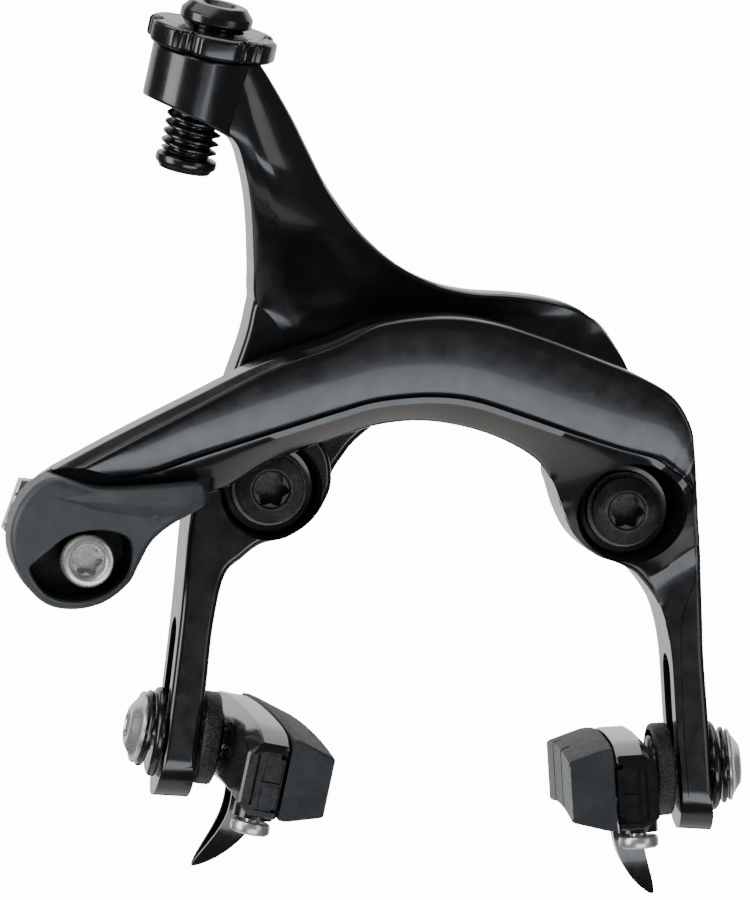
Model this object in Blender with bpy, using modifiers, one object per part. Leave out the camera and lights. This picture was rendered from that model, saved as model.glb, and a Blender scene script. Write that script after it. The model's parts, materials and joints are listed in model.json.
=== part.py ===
"""Direct-mount rim brake caliper, metres, +Z up.

The origin is midway between the two mounting bolts, on the face that meets the bicycle frame.
+X is the viewer's right when the caliper is seen from its front, and +Y points into the frame.
"""

import math

import bmesh
import bpy
from mathutils import Matrix, Vector

MM = 0.001

# Driving dimensions, in millimetres
BOLT_SPACING = 56.0
PIVOT_X = BOLT_SPACING / 2
GAP = 0.35

PLATE_THICK = 2.4
ARM_BACK = -3.0
REAR_ARM_FRONT = -14.0
PAD_ARM_FRONT = -16.0
FRONT_ARM_BACK = -17.2
FRONT_ARM_FRONT = -27.0

SLEEVE_R = 4.2
SLEEVE_BORE_R = 3.4
SLEEVE_FRONT = -12.6
BUSH_R = 5.2
BUSH_BACK = -7.4
BUSH_FRONT = -11.9
SPRING_R = 5.75
SPRING_WIRE_R = 0.5
SPRING_TURNS = 2.4
SPRING_RISE = 1.2
SPRING_SIDES = 14
SPRING_POCKET_R = 7.0
CUP_R = 7.2
CUP_FLOOR = -12.3
WASHER_R = 6.3
WASHER_THICK = 0.8
MOUNT_THREAD_R = 3.0
MOUNT_HEAD_R = 5.35
MOUNT_HEAD_H = 2.7
MOUNT_SOCKET_R = 2.4
MOUNT_SOCKET_DEPTH = 1.9
MOUNT_REACH = 9.0

# The adjuster's heights are depths below the top of its axis
ADJUSTER_TOP = Vector((-43.2, -26.6, 73.1))
ADJUSTER_BOTTOM = Vector((-46.1, -23.5, 49.5))
POST_R = 8.6
POST_TOP = 5.6
POST_BOTTOM = 16.6
THREAD_R = 4.3
THREAD_ROOT_R = 3.45
THREAD_PITCH = 1.4
THREAD_START = 13.6
THREAD_TURNS = 4
BARREL_LENGTH = 22.6
CABLE_BORE_R = 2.1
DIAL_R = 10.2
DIAL_HEIGHT = 3.4
DIAL_DIP = 1.5
DIAL_LOBES = 6
POINTS_PER_LOBE = 8

CAM_CENTRE = (-59.0, -8.7)
CAM_ROOM_R = 11.1
CAM_HUB_R = 6.0
ANCHOR = (-57.4, -11.4)
ANCHOR_THREAD_R = 2.5
LUG_FRONT = -20.6
LEVER_FRONT = -31.0

ROLLER_AT = (1.0, 21.5)
ROLLER_R = 3.0
ROLLER_BACK = 17.6
ROLLER_FRONT = 21.6
ROLLER_PIN_R = 1.5
ROLLER_PIN_BACK = 4.2
ROLLER_PIN_FRONT = 22.2

CENTRING_AT = (19.6, 29.6)
CENTRING_TILT = math.radians(28.0)
CENTRING_R = 2.0

PAD_Y = -9.5
SLOT_HALF = 3.2
LEFT_SLOT = (-38.95, -39.6)
RIGHT_SLOT = (41.9, -40.2)
LEFT_SEAT_TILT = math.radians(3.5)
RIGHT_SEAT_TILT = math.radians(7.4)
PAD_TILT = math.radians(7.6)
LEFT_TOE = math.radians(2.4)
RIGHT_TOE = math.radians(5.0)
LEFT_PITCH = math.radians(1.5)
RIGHT_PITCH = math.radians(-3.0)
PAD_LENGTH = 50.0
PAD_HEIGHT = 12.8
RIM_RADIUS = 311.0

# Heights along a pad bolt, from the middle of the arm towards the rim
PAD_ARM_FACE = 3.1
PAD_BOLT_R = 2.5
PAD_WASHER_BORE_R = 3.1
SPACER_RECESS_R = 6.3
SPACER_RECESS = 4.2
SPACER_FRONT = 5.9
HOLDER_BACK = 6.7
HOLDER_MIDDLE = 10.0
HOLDER_FRONT = 13.1
HOLDER_WALL = 1.4
POCKET_FLOOR = 9.6
INSERT_BACK = 13.4
INSERT_FRONT = 20.4
INSERT_SCREW_R = 1.3
FIN_HALF_WIDTH = 3.5


# Scene set-up

for old in list(bpy.data.objects):
    bpy.data.objects.remove(old, do_unlink=True)

parts = bpy.data.collections.new("rim_brake_caliper")
cutters = bpy.data.collections.new("cutters")
bpy.context.scene.collection.children.link(parts)
bpy.context.scene.collection.children.link(cutters)


def finish_material(name, colour, roughness, metallic):
    """A Principled material that takes only a colour, a roughness and a metallic value."""
    material = bpy.data.materials.new(name)
    material.use_nodes = True
    shader = material.node_tree.nodes["Principled BSDF"]
    shader.inputs["Base Color"].default_value = (*colour, 1.0)
    shader.inputs["Roughness"].default_value = roughness
    shader.inputs["Metallic"].default_value = metallic
    return material


ANODISED = finish_material("anodised_black", (0.012, 0.013, 0.015), 0.22, 0.6)
SATIN = finish_material("satin_grey", (0.055, 0.062, 0.068), 0.5, 0.2)
STEEL = finish_material("stainless", (0.62, 0.60, 0.57), 0.22, 1.0)
BLACK_STEEL = finish_material("black_oxide", (0.02, 0.02, 0.021), 0.3, 0.7)
RUBBER = finish_material("pad_rubber", (0.03, 0.033, 0.037), 0.75, 0.0)
TEXTURED = finish_material("textured_black", (0.02, 0.02, 0.022), 0.6, 0.0)
BRONZE = finish_material("bush_bronze", (0.45, 0.29, 0.12), 0.35, 1.0)


# Helpers: every length they take is in millimetres


def metres(*values):
    return Vector(values) * MM


def adopt(thing, name, material, collection=parts):
    """Names an object, gives it its material and puts it in its collection."""
    thing.name = name
    thing.data.name = name
    for holder in list(thing.users_collection):
        holder.objects.unlink(thing)
    collection.objects.link(thing)
    thing.data.materials.clear()
    thing.data.materials.append(material)
    return thing


def smooth_outline(points, steps=3):
    """A closed Catmull-Rom line through the points; a point given twice stays a corner."""
    count = len(points)
    line = []
    for i in range(count):
        before, start, end, after = (Vector(points[(i + k) % count]) for k in (-1, 0, 1, 2))
        if (end - start).length < 1e-6:
            continue
        straight = (start - before).length < 1e-6 and (after - end).length < 1e-6
        for step in range(1 if straight else steps):
            t = step / steps
            line.append(
                0.5
                * (
                    2 * start
                    + (end - before) * t
                    + (2 * before - 5 * start + 4 * end - after) * t**2
                    + (3 * start - before - 3 * end + after) * t**3
                )
            )
    return line


def as_mesh(thing):
    """Replaces a curve object by the mesh it makes, with its caps welded on."""
    bpy.context.view_layer.update()
    depsgraph = bpy.context.evaluated_depsgraph_get()
    mesh = bpy.data.meshes.new_from_object(thing.evaluated_get(depsgraph))
    work = bmesh.new()
    work.from_mesh(mesh)
    bmesh.ops.remove_doubles(work, verts=work.verts, dist=0.000005)
    bmesh.ops.recalc_face_normals(work, faces=work.faces)
    work.to_mesh(mesh)
    work.free()
    solid = bpy.data.objects.new(thing.name, mesh)
    solid.matrix_world = thing.matrix_world
    bpy.context.scene.collection.objects.link(solid)
    bpy.data.objects.remove(thing, do_unlink=True)
    return solid


def plate(name, outline, front, back, material=ANODISED, collection=parts):
    """A flat outline in X and Z, filled and extruded from the front Y to the back Y."""
    curve = bpy.data.curves.new(name, "CURVE")
    curve.dimensions = "2D"
    curve.fill_mode = "BOTH"
    curve.extrude = (back - front) / 2 * MM
    spline = curve.splines.new("POLY")
    spline.points.add(len(outline) - 1)
    for slot, point in zip(spline.points, outline):
        slot.co = (point[0] * MM, point[1] * MM, 0, 1)
    spline.use_cyclic_u = True
    thing = bpy.data.objects.new(name, curve)
    thing.rotation_euler = (math.pi / 2, 0, 0)
    thing.location = metres(0, (front + back) / 2, 0)
    bpy.context.scene.collection.objects.link(thing)
    solid = adopt(as_mesh(thing), name, material, collection)
    apply_place(solid)
    return solid


def apply_place(thing):
    """Moves an object's place into its mesh, so that its origin is the world's."""
    bpy.context.view_layer.update()
    thing.data.transform(thing.matrix_world)
    thing.matrix_world = Matrix.Identity(4)


def turned(name, profile, material, frame, steps=24, collection=parts):
    """A closed ring or a solid turned about the frame's Z; profile runs down its outer side."""
    mesh = bpy.data.meshes.new(name)
    verts = [metres(radius, 0, height) for radius, height in profile]
    closed = all(radius > 0 for radius, _ in profile)
    last = len(verts) if closed else len(verts) - 1
    mesh.from_pydata(verts, [(i, (i + 1) % len(verts)) for i in range(last)], [])
    thing = bpy.data.objects.new(name, mesh)
    bpy.context.scene.collection.objects.link(thing)
    adopt(thing, name, material, collection)
    screw = thing.modifiers.new("turn", "SCREW")
    screw.axis = "Z"
    screw.steps = steps
    screw.render_steps = steps
    screw.use_merge_vertices = True
    screw.merge_threshold = 0.00001
    thing.parent = frame
    return thing


def empty(name, location, rotation=(0, 0, 0)):
    thing = bpy.data.objects.new(name, None)
    thing.location = metres(*location)
    thing.rotation_euler = rotation
    thing.empty_display_size = 0.005
    parts.objects.link(thing)
    return thing


def rod(name, start, end, radius, sides=24):
    """A plain cylinder from start to end, kept as a cutter."""
    span = Vector(end) - Vector(start)
    bpy.ops.mesh.primitive_cylinder_add(vertices=sides, radius=radius * MM, depth=span.length * MM)
    thing = bpy.context.object
    thing.rotation_mode = "QUATERNION"
    thing.rotation_quaternion = span.to_track_quat("Z", "Y")
    thing.location = (Vector(start) + Vector(end)) / 2 * MM
    adopt(thing, name, ANODISED, cutters)
    hide_cutter(thing)
    return thing


def hide_cutter(thing):
    thing.hide_render = True
    thing.display_type = "WIRE"
    return thing


def block(name, low, high, frame=None, collection=cutters, material=ANODISED):
    """A box between two corners, in its frame."""
    bpy.ops.mesh.primitive_cube_add(size=1)
    thing = bpy.context.object
    adopt(thing, name, material, collection)
    size = Vector(high) - Vector(low)
    middle = (Vector(high) + Vector(low)) / 2
    thing.data.transform(Matrix.Translation(middle * MM) @ Matrix.Diagonal((*(size * MM), 1)))
    thing.parent = frame
    if collection is cutters:
        hide_cutter(thing)
    return thing


def combine(thing, other, operation):
    """Adds or cuts another mesh object by a Boolean modifier."""
    if other.name not in cutters.objects:
        adopt(other, other.name, ANODISED, cutters)
    hide_cutter(other)
    boolean = thing.modifiers.new(other.name, "BOOLEAN")
    boolean.operation = operation
    boolean.object = other
    return boolean


def join(thing, *others):
    for other in others:
        combine(thing, other, "UNION")


def cut(thing, *others):
    for other in others:
        combine(thing, other, "DIFFERENCE")


def smooth(thing, angle=30.0):
    thing.data.shade_smooth()
    thing.data.set_sharp_from_angle(angle=math.radians(angle))


FORWARD = (math.pi / 2, 0, 0)  # turns a frame's Z to point forward, along -Y


def forward_frame(name, x, z):
    return empty(name, (x, 0, z), FORWARD)


# Mounting hardware: in these frames, heights count forward from the mounting face


def make_mount(side, x):
    frame = forward_frame(side + "_pivot_axis", x, 0)
    sleeve_back = PLATE_THICK + GAP
    turned(
        side + "_pivot_sleeve",
        [(SLEEVE_BORE_R, -SLEEVE_FRONT), (SLEEVE_R, -SLEEVE_FRONT), (SLEEVE_R, sleeve_back),
         (SLEEVE_BORE_R, sleeve_back)],
        STEEL, frame,
    )
    turned(
        side + "_pivot_bush",
        [(SLEEVE_R + GAP, -BUSH_FRONT), (BUSH_R, -BUSH_FRONT), (BUSH_R, -BUSH_BACK),
         (SLEEVE_R + GAP, -BUSH_BACK)],
        BRONZE, frame,
    )
    washer_back = -SLEEVE_FRONT + GAP
    washer_front = washer_back + WASHER_THICK
    turned(
        side + "_mount_washer",
        [(MOUNT_THREAD_R + GAP, washer_front), (WASHER_R - 0.2, washer_front),
         (WASHER_R, washer_front - 0.2), (WASHER_R, washer_back),
         (MOUNT_THREAD_R + GAP, washer_back)],
        BLACK_STEEL, frame,
    )
    seat = washer_front + GAP
    crown = seat + MOUNT_HEAD_H
    bolt = turned(
        side + "_mount_bolt",
        [(0, crown - MOUNT_SOCKET_DEPTH), (MOUNT_SOCKET_R, crown - MOUNT_SOCKET_DEPTH),
         (MOUNT_SOCKET_R + 0.1, crown - 0.2), (2.9, crown), (3.3, crown),
         (MOUNT_HEAD_R, seat + 0.9), (MOUNT_HEAD_R, seat), (MOUNT_THREAD_R, seat),
         (MOUNT_THREAD_R, 0.6 - MOUNT_REACH), (MOUNT_THREAD_R - 0.6, -MOUNT_REACH),
         (0, -MOUNT_REACH)],
        BLACK_STEEL, frame,
    )
    smooth(bolt)


def make_bridge():
    """The plate behind the arms that keeps the two pivots at their spacing."""
    upper = [(-35.6, 0.0), (-33.0, 6.5), (-25.0, 13.0), (-13.0, 19.0), (0.0, 21.5), (13.0, 19.0)]
    upper += [(25.0, 13.0), (33.0, 6.5), (35.6, 0.0), (33.0, -5.6), (28.0, -7.4), (22.4, -4.6)]
    upper += [(20.6, 1.5), (15.5, 9.0), (8.0, 13.2), (0.0, 14.6), (-8.0, 13.2), (-15.5, 9.0)]
    upper += [(-20.6, 1.5), (-22.4, -4.6), (-28.0, -7.4), (-33.0, -5.6)]
    bridge = plate("bridge_plate", smooth_outline(upper, 2), -PLATE_THICK, 0)
    for side, x in (("left", -PIVOT_X), ("right", PIVOT_X)):
        hole = rod(side + "_plate_hole", (x, -5, 0), (x, 5, 0), MOUNT_THREAD_R + GAP)
        cut(bridge, hole)


def make_spring(side, x, turn):
    """The torsion spring's coil, round the sleeve and inside the arm's pocket."""
    curve = bpy.data.curves.new(side + "_return_spring", "CURVE")
    curve.dimensions = "3D"
    curve.bevel_depth = SPRING_WIRE_R * MM
    curve.bevel_resolution = 2
    curve.use_fill_caps = True
    spline = curve.splines.new("POLY")
    count = int(SPRING_TURNS * SPRING_SIDES)
    spline.points.add(count - 1)
    for k in range(count):
        angle = turn * 2 * math.pi * k / SPRING_SIDES
        depth = ARM_BACK - SPRING_WIRE_R - 0.3 - SPRING_RISE * k / SPRING_SIDES
        spot = metres(x + SPRING_R * math.cos(angle), depth, SPRING_R * math.sin(angle))
        spline.points[k].co = (*spot, 1)
    thing = bpy.data.objects.new(side + "_return_spring", curve)
    bpy.context.scene.collection.objects.link(thing)
    adopt(as_mesh(thing), side + "_return_spring", STEEL)


# Rear arm


def lean_forward(solid, start, end, shift):
    """Carries the upper part of a solid forward, so that the post clears the front arm."""
    for vert in solid.data.vertices:
        t = min(max((vert.co.z / MM - start) / (end - start), 0), 1)
        vert.co.y += shift * MM * t * t * (3 - 2 * t)


def add_levels(solid, heights):
    """Cuts level lines around a solid, so that it can bend there."""
    work = bmesh.new()
    work.from_mesh(solid.data)
    for height in heights:
        bmesh.ops.bisect_plane(
            work,
            geom=work.verts[:] + work.edges[:] + work.faces[:],
            plane_co=metres(0, 0, height),
            plane_no=(0, 0, 1),
            dist=1e-7,
        )
    work.to_mesh(solid.data)
    work.free()


def stadium(low, high, radius, steps=10):
    """A slot's outline: two half circles about heights low and high, joined by straight sides."""
    line = []
    for centre, begin in ((high, 0.0), (low, math.pi)):
        for k in range(steps + 1):
            angle = begin + math.pi * k / steps
            line.append((radius * math.cos(angle), centre + radius * math.sin(angle)))
    return line


def slot_cutter(name, at, tilt, reach):
    """A slot through a pad arm, round at both ends, for the pad bolt."""
    slot = plate(name, stadium(-1.6, reach, SLOT_HALF), -9, 9, collection=cutters)
    slot.data.transform(Matrix.Rotation(math.pi / 2, 4, "Z"))
    slot.location = metres(at[0], PAD_Y, at[1])
    slot.rotation_euler = (0, tilt, 0)
    return slot


def round_end_cutter(name, at, width):
    """A frame around the lower end of a pad arm that leaves a half-round end."""
    radius = width / 2
    bottom = at[1] - 9.7
    outer = block(name, (at[0] - 12, PAD_Y - 14, bottom - 6), (at[0] + 12, PAD_Y + 14, bottom + radius))
    bpy.ops.mesh.primitive_cylinder_add(vertices=32, radius=radius * MM, depth=40 * MM)
    core = bpy.context.object
    core.data.transform(Matrix.Rotation(math.pi / 2, 4, "Y"))
    core.data.transform(Matrix.Translation(metres(at[0], PAD_Y, bottom + radius)))
    adopt(core, name + "_core", ANODISED, cutters)
    cut(outer, core)
    return outer


REAR_BODY = [
    (-51.3, 67.6), (-51.3, 67.6), (-50.8, 58.6), (-45.5, 57.2), (-39.8, 55.6), (-37.5, 52.6),
    (-34.1, 39.4), (-32.2, 31.3), (-33.4, 23.0), (-36.4, 13.0), (-37.0, 4.0), (-33.0, -4.0),
    (-26.0, -5.0), (-20.0, 0.0), (-17.2, 4.9), (-14.3, 8.8), (-8.0, 13.6), (2.0, 16.4),
    (14.0, 16.6), (25.0, 16.4), (27.4, 18.6), (27.3, 21.5), (24.4, 26.2), (20.6, 29.6),
    (15.4, 31.7), (5.8, 32.4), (-1.3, 32.4), (-7.8, 34.3), (-14.5, 38.1), (-21.5, 45.9),
    (-28.7, 57.6), (-30.9, 61.7), (-33.7, 64.6), (-36.4, 65.6), (-36.4, 65.6),
]
REAR_FOOT = [
    (-36.4, 9.0), (-39.4, 3.0), (-40.2, -5.0), (-40.5, -14.5), (-40.7, -22.0), (-41.3, -34.5),
    (-42.1, -46.0), (-42.5, -49.4), (-42.5, -49.4), (-37.0, -49.6), (-37.0, -49.6),
    (-36.6, -45.8), (-35.8, -32.5), (-35.4, -22.0), (-34.2, -14.0), (-31.6, -10.9),
    (-28.8, -8.6), (-25.0, -7.4), (-21.6, -4.9), (-19.6, -1.8), (-18.6, 2.0), (-20.0, 7.0),
    (-25.0, 11.0), (-31.0, 11.5),
]


def make_rear_arm():
    body = plate("rear_arm", smooth_outline(REAR_BODY), REAR_ARM_FRONT, ARM_BACK - 0.5)
    add_levels(body, (30, 36, 42, 48, 54, 60))
    lean_forward(body, 28, 62, -16.5)
    foot = plate("rear_foot", smooth_outline(REAR_FOOT), PAD_ARM_FRONT, ARM_BACK)
    top, bottom = ADJUSTER_TOP, ADJUSTER_BOTTOM
    down = (bottom - top).normalized()
    post_top = top + down * POST_TOP
    post_bottom = top + down * POST_BOTTOM
    post = rod("adjuster_post", post_top, post_bottom, POST_R, 32)
    join(body, foot, post)
    cap = post_top - down * 10
    trim = rod("post_trim", cap, post_top, 16, 24)
    bore = rod("adjuster_bore", post_top - down * 3, post_bottom + down * 9, THREAD_R + GAP)
    cut(body, trim, bore, *boss_cutters("left", -PIVOT_X))
    cut(body, slot_cutter("left_slot", LEFT_SLOT, LEFT_SEAT_TILT, 15.0))
    cut(body, round_end_cutter("left_round_end", LEFT_SLOT, 13.0))
    pin = (ROLLER_AT[0], 0, ROLLER_AT[1])
    cut(body, rod("roller_pin_hole", (pin[0], -16, pin[2]), (pin[0], 0, pin[2]), ROLLER_PIN_R + GAP))
    tilt = Vector((math.sin(CENTRING_TILT), 0, math.cos(CENTRING_TILT)))
    mouth = Vector((CENTRING_AT[0], -8.8, CENTRING_AT[1]))
    cut(body, rod("centring_hole", mouth + tilt * 3, mouth - tilt * 15, CENTRING_R + GAP))
    return body


def boss_cutters(side, x):
    """The cup for the bolt head, the bush bore and the spring pocket of one pivot."""
    return (
        rod(side + "_cup", (x, -40, 0), (x, CUP_FLOOR, 0), CUP_R, 40),
        rod(side + "_bush_bore", (x, -20, 0), (x, 1, 0), BUSH_R + GAP, 32),
        rod(side + "_spring_pocket", (x, BUSH_BACK, 0), (x, 1, 0), SPRING_POCKET_R, 32),
    )


# Front arm

FRONT_BAR = [
    (-53.2, 7.8), (-42.2, 14.4), (-31.7, 20.3), (-22.0, 24.2), (-14.6, 27.6), (-5.2, 29.2),
    (2.6, 28.9), (10.9, 27.0), (19.3, 24.4), (27.0, 21.8), (32.1, 19.1), (34.8, 16.4),
    (36.4, 13.0), (37.6, 7.1), (38.4, 2.5), (38.4, 2.5), (35.6, 2.5), (35.6, 2.5), (33.9, 7.1),
    (29.0, 9.9), (21.2, 10.6), (14.6, 8.6), (8.0, 10.8), (-2.2, 12.4), (-10.0, 12.0),
    (-18.3, 9.2), (-28.7, 5.4), (-38.1, 1.2), (-44.6, -2.6), (-48.6, -7.4), (-51.0, -13.2),
    (-54.8, -17.2), (-60.0, -18.4), (-64.8, -16.6), (-68.2, -12.8), (-69.0, -8.0), (-67.4, -3.0),
    (-63.0, 1.6),
]
FRONT_SIDE = [
    (31.5, 15.8), (34.4, 15.4), (36.1, 12.8), (37.3, 7.1), (38.3, 1.1), (39.3, -7.1),
    (40.4, -13.6), (41.0, -17.5), (36.8, -18.0), (34.4, -13.6), (33.6, -6.0), (35.1, -1.9),
    (35.9, 2.5), (34.2, 7.1), (31.0, 9.8),
]
FRONT_SHOULDER = [
    (20.0, 9.0), (25.4, 13.8), (30.0, 14.0), (30.9, 17.9), (32.0, 18.2), (34.2, 15.8),
    (36.0, 12.6), (37.0, 7.0), (38.0, 1.0), (38.8, -6.0), (30.0, -6.4), (23.0, -4.4),
    (19.4, 0.6), (18.8, 5.0),
]
FRONT_FOOT = [
    (19.0, 10.0), (25.0, 14.6), (29.6, 14.8), (30.4, 18.6), (32.1, 19.0), (34.8, 16.4),
    (36.4, 13.0), (37.6, 7.1), (38.7, 1.1), (39.7, -7.1), (40.8, -13.6), (42.1, -22.5),
    (43.7, -32.3), (45.2, -44.0), (45.9, -49.9), (45.9, -49.9), (40.6, -50.2), (40.6, -50.2),
    (39.6, -44.0), (37.9, -31.4), (36.6, -22.5), (34.4, -15.4), (30.9, -10.2), (27.6, -8.4),
    (23.7, -7.2), (20.4, -4.6), (18.2, -1.1), (16.6, 2.4), (15.2, 5.6),
]


def slope_front(solid):
    """Brings the front face back from the bar's to the pad arm's, down the right-hand side."""
    for vert in solid.data.vertices:
        height = vert.co.z / MM
        t = min(max((4 - height) / 20, 0), 1)
        forward = FRONT_ARM_FRONT + (PAD_ARM_FRONT - FRONT_ARM_FRONT) * t
        vert.co.y = max(vert.co.y, (forward + 0.4) * MM)


def make_front_arm():
    bar = plate("front_arm", smooth_outline(FRONT_BAR), FRONT_ARM_FRONT, FRONT_ARM_BACK)
    side = plate("front_side", smooth_outline(FRONT_SIDE), FRONT_ARM_FRONT, -8.0)
    slope_front(side)
    foot = plate("front_foot", smooth_outline(FRONT_FOOT), PAD_ARM_FRONT, ARM_BACK)
    shoulder = plate("front_shoulder", FRONT_SHOULDER, FRONT_ARM_BACK - 1, ARM_BACK - 1)
    join(bar, shoulder, side, foot)
    cut(bar, *boss_cutters("right", PIVOT_X))
    lever_room = [(-75, -22), (-75, CAM_CENTRE[1])]
    for turn in (180, 165, 150, 135, 120, 105, 90, 75, 62):
        angle = math.radians(turn)
        lever_room.append((CAM_CENTRE[0] + CAM_ROOM_R * math.cos(angle),
                           CAM_CENTRE[1] + CAM_ROOM_R * math.sin(angle)))
    lever_room += [(-53.4, 0.9), (-38, 1.9), (-38, -22)]
    cut(bar, plate("lever_room", lever_room, -40, LUG_FRONT, collection=cutters))
    cut(bar, slot_cutter("right_slot", RIGHT_SLOT, -RIGHT_SEAT_TILT, 15.0))
    cut(bar, round_end_cutter("right_round_end", RIGHT_SLOT, 13.0))
    x, z = CAM_CENTRE
    cut(bar, rod("cam_hole", (x, -30, z), (x, 0, z), CAM_HUB_R + GAP, 32))
    x, z = ROLLER_AT
    slot = block("roller_slot", (x - 11.2, -22.6, z - 4.6), (x + 4.2, 0, z + 4.0))
    cut(bar, slot)
    return bar


def make_link():
    """The roller on the rear arm that runs in the front arm's slot and keeps the arms in step."""
    frame = forward_frame("roller_axis", *ROLLER_AT)
    turned(
        "sync_roller",
        [(ROLLER_PIN_R + GAP, ROLLER_FRONT), (ROLLER_R, ROLLER_FRONT), (ROLLER_R, ROLLER_BACK),
         (ROLLER_PIN_R + GAP, ROLLER_BACK)],
        STEEL, frame, 24,
    )
    turned(
        "sync_roller_pin",
        [(0, ROLLER_PIN_FRONT), (ROLLER_PIN_R, ROLLER_PIN_FRONT), (ROLLER_PIN_R, ROLLER_PIN_BACK),
         (0, ROLLER_PIN_BACK)],
        STEEL, frame, 20,
    )


def make_centring_screw():
    frame = empty("centring_axis", (CENTRING_AT[0], -8.8, CENTRING_AT[1]), (0, CENTRING_TILT, 0))
    turned(
        "centring_screw",
        [(0, -3.0), (1.0, -3.0), (1.1, -0.9), (1.7, -0.9), (CENTRING_R, -1.3), (CENTRING_R, -10.6),
         (1.2, -11.4), (0, -11.4)],
        STEEL, frame, 20,
    )


# Quick release and cable anchor

LEVER = [
    (-63.0, 1.2), (-60.9, 1.0), (-55.0, -0.4), (-48.0, 0.3), (-41.0, 1.1), (-39.9, 0.4),
    (-39.8, -1.8), (-42.2, -3.6), (-46.0, -6.4), (-48.8, -9.6), (-50.4, -14.2), (-54.2, -18.1),
    (-59.4, -19.3), (-64.6, -17.6), (-68.4, -13.4), (-69.6, -8.2), (-67.6, -2.6),
]


def make_quick_release():
    line = smooth_outline(LEVER, 2)
    lever = plate("quick_release_lever", line, LEVER_FRONT, LUG_FRONT - GAP, SATIN)
    frame = forward_frame("anchor_axis", *ANCHOR)
    recess = smooth_outline(
        [(-66.4, -13.2), (-64.2, -9.6), (-60.0, -7.6), (-55.6, -7.2), (-52.0, -9.2), (-52.2, -13.8),
         (-55.6, -17.0), (-60.0, -17.6), (-64.2, -16.2)], 2)
    cut(lever, plate("lever_recess", recess, LEVER_FRONT - 5, -25.4, collection=cutters))
    x, z = CAM_CENTRE
    join(lever, rod("cam_hub", (x, LUG_FRONT - 1, z), (x, FRONT_ARM_BACK + 0.05, z), CAM_HUB_R, 32))
    x, z = ANCHOR
    cut(lever, rod("lever_bore", (x, -40, z), (x, -10, z), ANCHOR_THREAD_R + GAP))
    turned(
        "anchor_bolt",
        [(0, 28.4), (1.9, 28.4), (2.0, 30.4), (2.4, 30.7), (3.5, 30.7), (4.05, 30.1), (4.05, 26.0),
         (ANCHOR_THREAD_R, 26.0), (ANCHOR_THREAD_R, 11.6), (2.0, 11.0), (0, 11.0)],
        STEEL, frame,
    )
    clamp_outline = [
        (-67.2, -0.6), (-67.2, -0.6), (-69.4, -8.4), (-69.4, -8.4), (-62.0, -15.6), (-54.0, -16.0),
        (-52.4, -9.0), (-56.0, -3.6), (-60.4, -0.8), (-60.4, -0.8),
    ]
    clamp = plate("cable_clamp_plate", smooth_outline(clamp_outline, 2), -16.8, -13.6, STEEL)
    cut(clamp, rod("clamp_hole", (x, -20, z), (x, -5, z), ANCHOR_THREAD_R + GAP))


# Barrel adjuster: its frame has Z along the cable, upwards


def make_adjuster():
    up = ADJUSTER_TOP - ADJUSTER_BOTTOM
    frame = empty("adjuster_axis", ADJUSTER_TOP, up.to_track_quat("Z", "Y").to_euler())
    dial_bottom = GAP - POST_TOP
    count = DIAL_LOBES * POINTS_PER_LOBE
    outline = []
    for k in range(count):
        angle = 2 * math.pi * k / count
        dip = max(0.0, math.cos(DIAL_LOBES * angle)) ** 2
        outline.append((DIAL_R - DIAL_DIP * dip) * Vector((math.cos(angle), math.sin(angle))))
    dial = plate("adjuster_dial", outline, dial_bottom, dial_bottom + DIAL_HEIGHT)
    dial.data.transform(Matrix.Rotation(math.pi / 2, 4, "X"))
    hole = block_cylinder("dial_hole", THREAD_R + GAP, 30, frame)
    dial.parent = frame
    cut(dial, hole)
    foot = -BARREL_LENGTH
    profile = [(CABLE_BORE_R, 0.2), (THREAD_ROOT_R, 0.2), (THREAD_ROOT_R, -THREAD_START)]
    for k in range(THREAD_TURNS):
        start = -THREAD_START - k * THREAD_PITCH
        profile += [(THREAD_R, start - THREAD_PITCH / 2), (THREAD_ROOT_R, start - THREAD_PITCH)]
    profile += [(THREAD_ROOT_R, foot), (4.7, foot - 0.2), (4.7, foot - 1.4), (4.0, foot - 1.9)]
    profile += [(CABLE_BORE_R, foot - 1.9)]
    barrel = turned("adjuster_barrel", profile, ANODISED, frame, 20)
    smooth(barrel, 40)
    turned(
        "cable_ferrule",
        [(2.0, 1.9), (4.4, 1.9), (5.6, 0.4), (5.6, -0.8), (5.0, -1.2), (THREAD_ROOT_R + GAP, -1.2),
         (THREAD_ROOT_R + GAP, 0.55), (2.0, 0.55)],
        ANODISED, frame,
    )


def block_cylinder(name, radius, depth, frame):
    """A cylinder about the frame's Z, centred on its origin."""
    bpy.ops.mesh.primitive_cylinder_add(vertices=28, radius=radius * MM, depth=depth * MM)
    thing = bpy.context.object
    adopt(thing, name, ANODISED, cutters)
    thing.parent = frame
    return hide_cutter(thing)


# Pads: in their frames Z points at the rim, Y up, and X along the rim

SECTION_TO_PAD = Matrix(((0, 1, 0, 0), (0, 0, 1, 0), (1, 0, 0, 0), (0, 0, 0, 1)))


def pad_frame(name, at, inward, tilt, toe=0.0, pitch=0.0):
    """A frame whose Z points inward, tilted down, with toe-in and pitch added."""
    along = -inward
    basis = Matrix(((0, 0, inward), (-along, 0, 0), (0, 1, 0)))
    turn = Matrix.Rotation(inward * tilt, 3, "Y")
    turn = Matrix.Rotation(inward * toe, 3, "Z") @ turn
    turn = turn @ Matrix.Rotation(pitch, 3, "X")
    frame = empty(name, (at[0], PAD_Y, at[1]))
    frame.rotation_euler = (turn @ basis).to_euler()
    return frame


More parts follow.
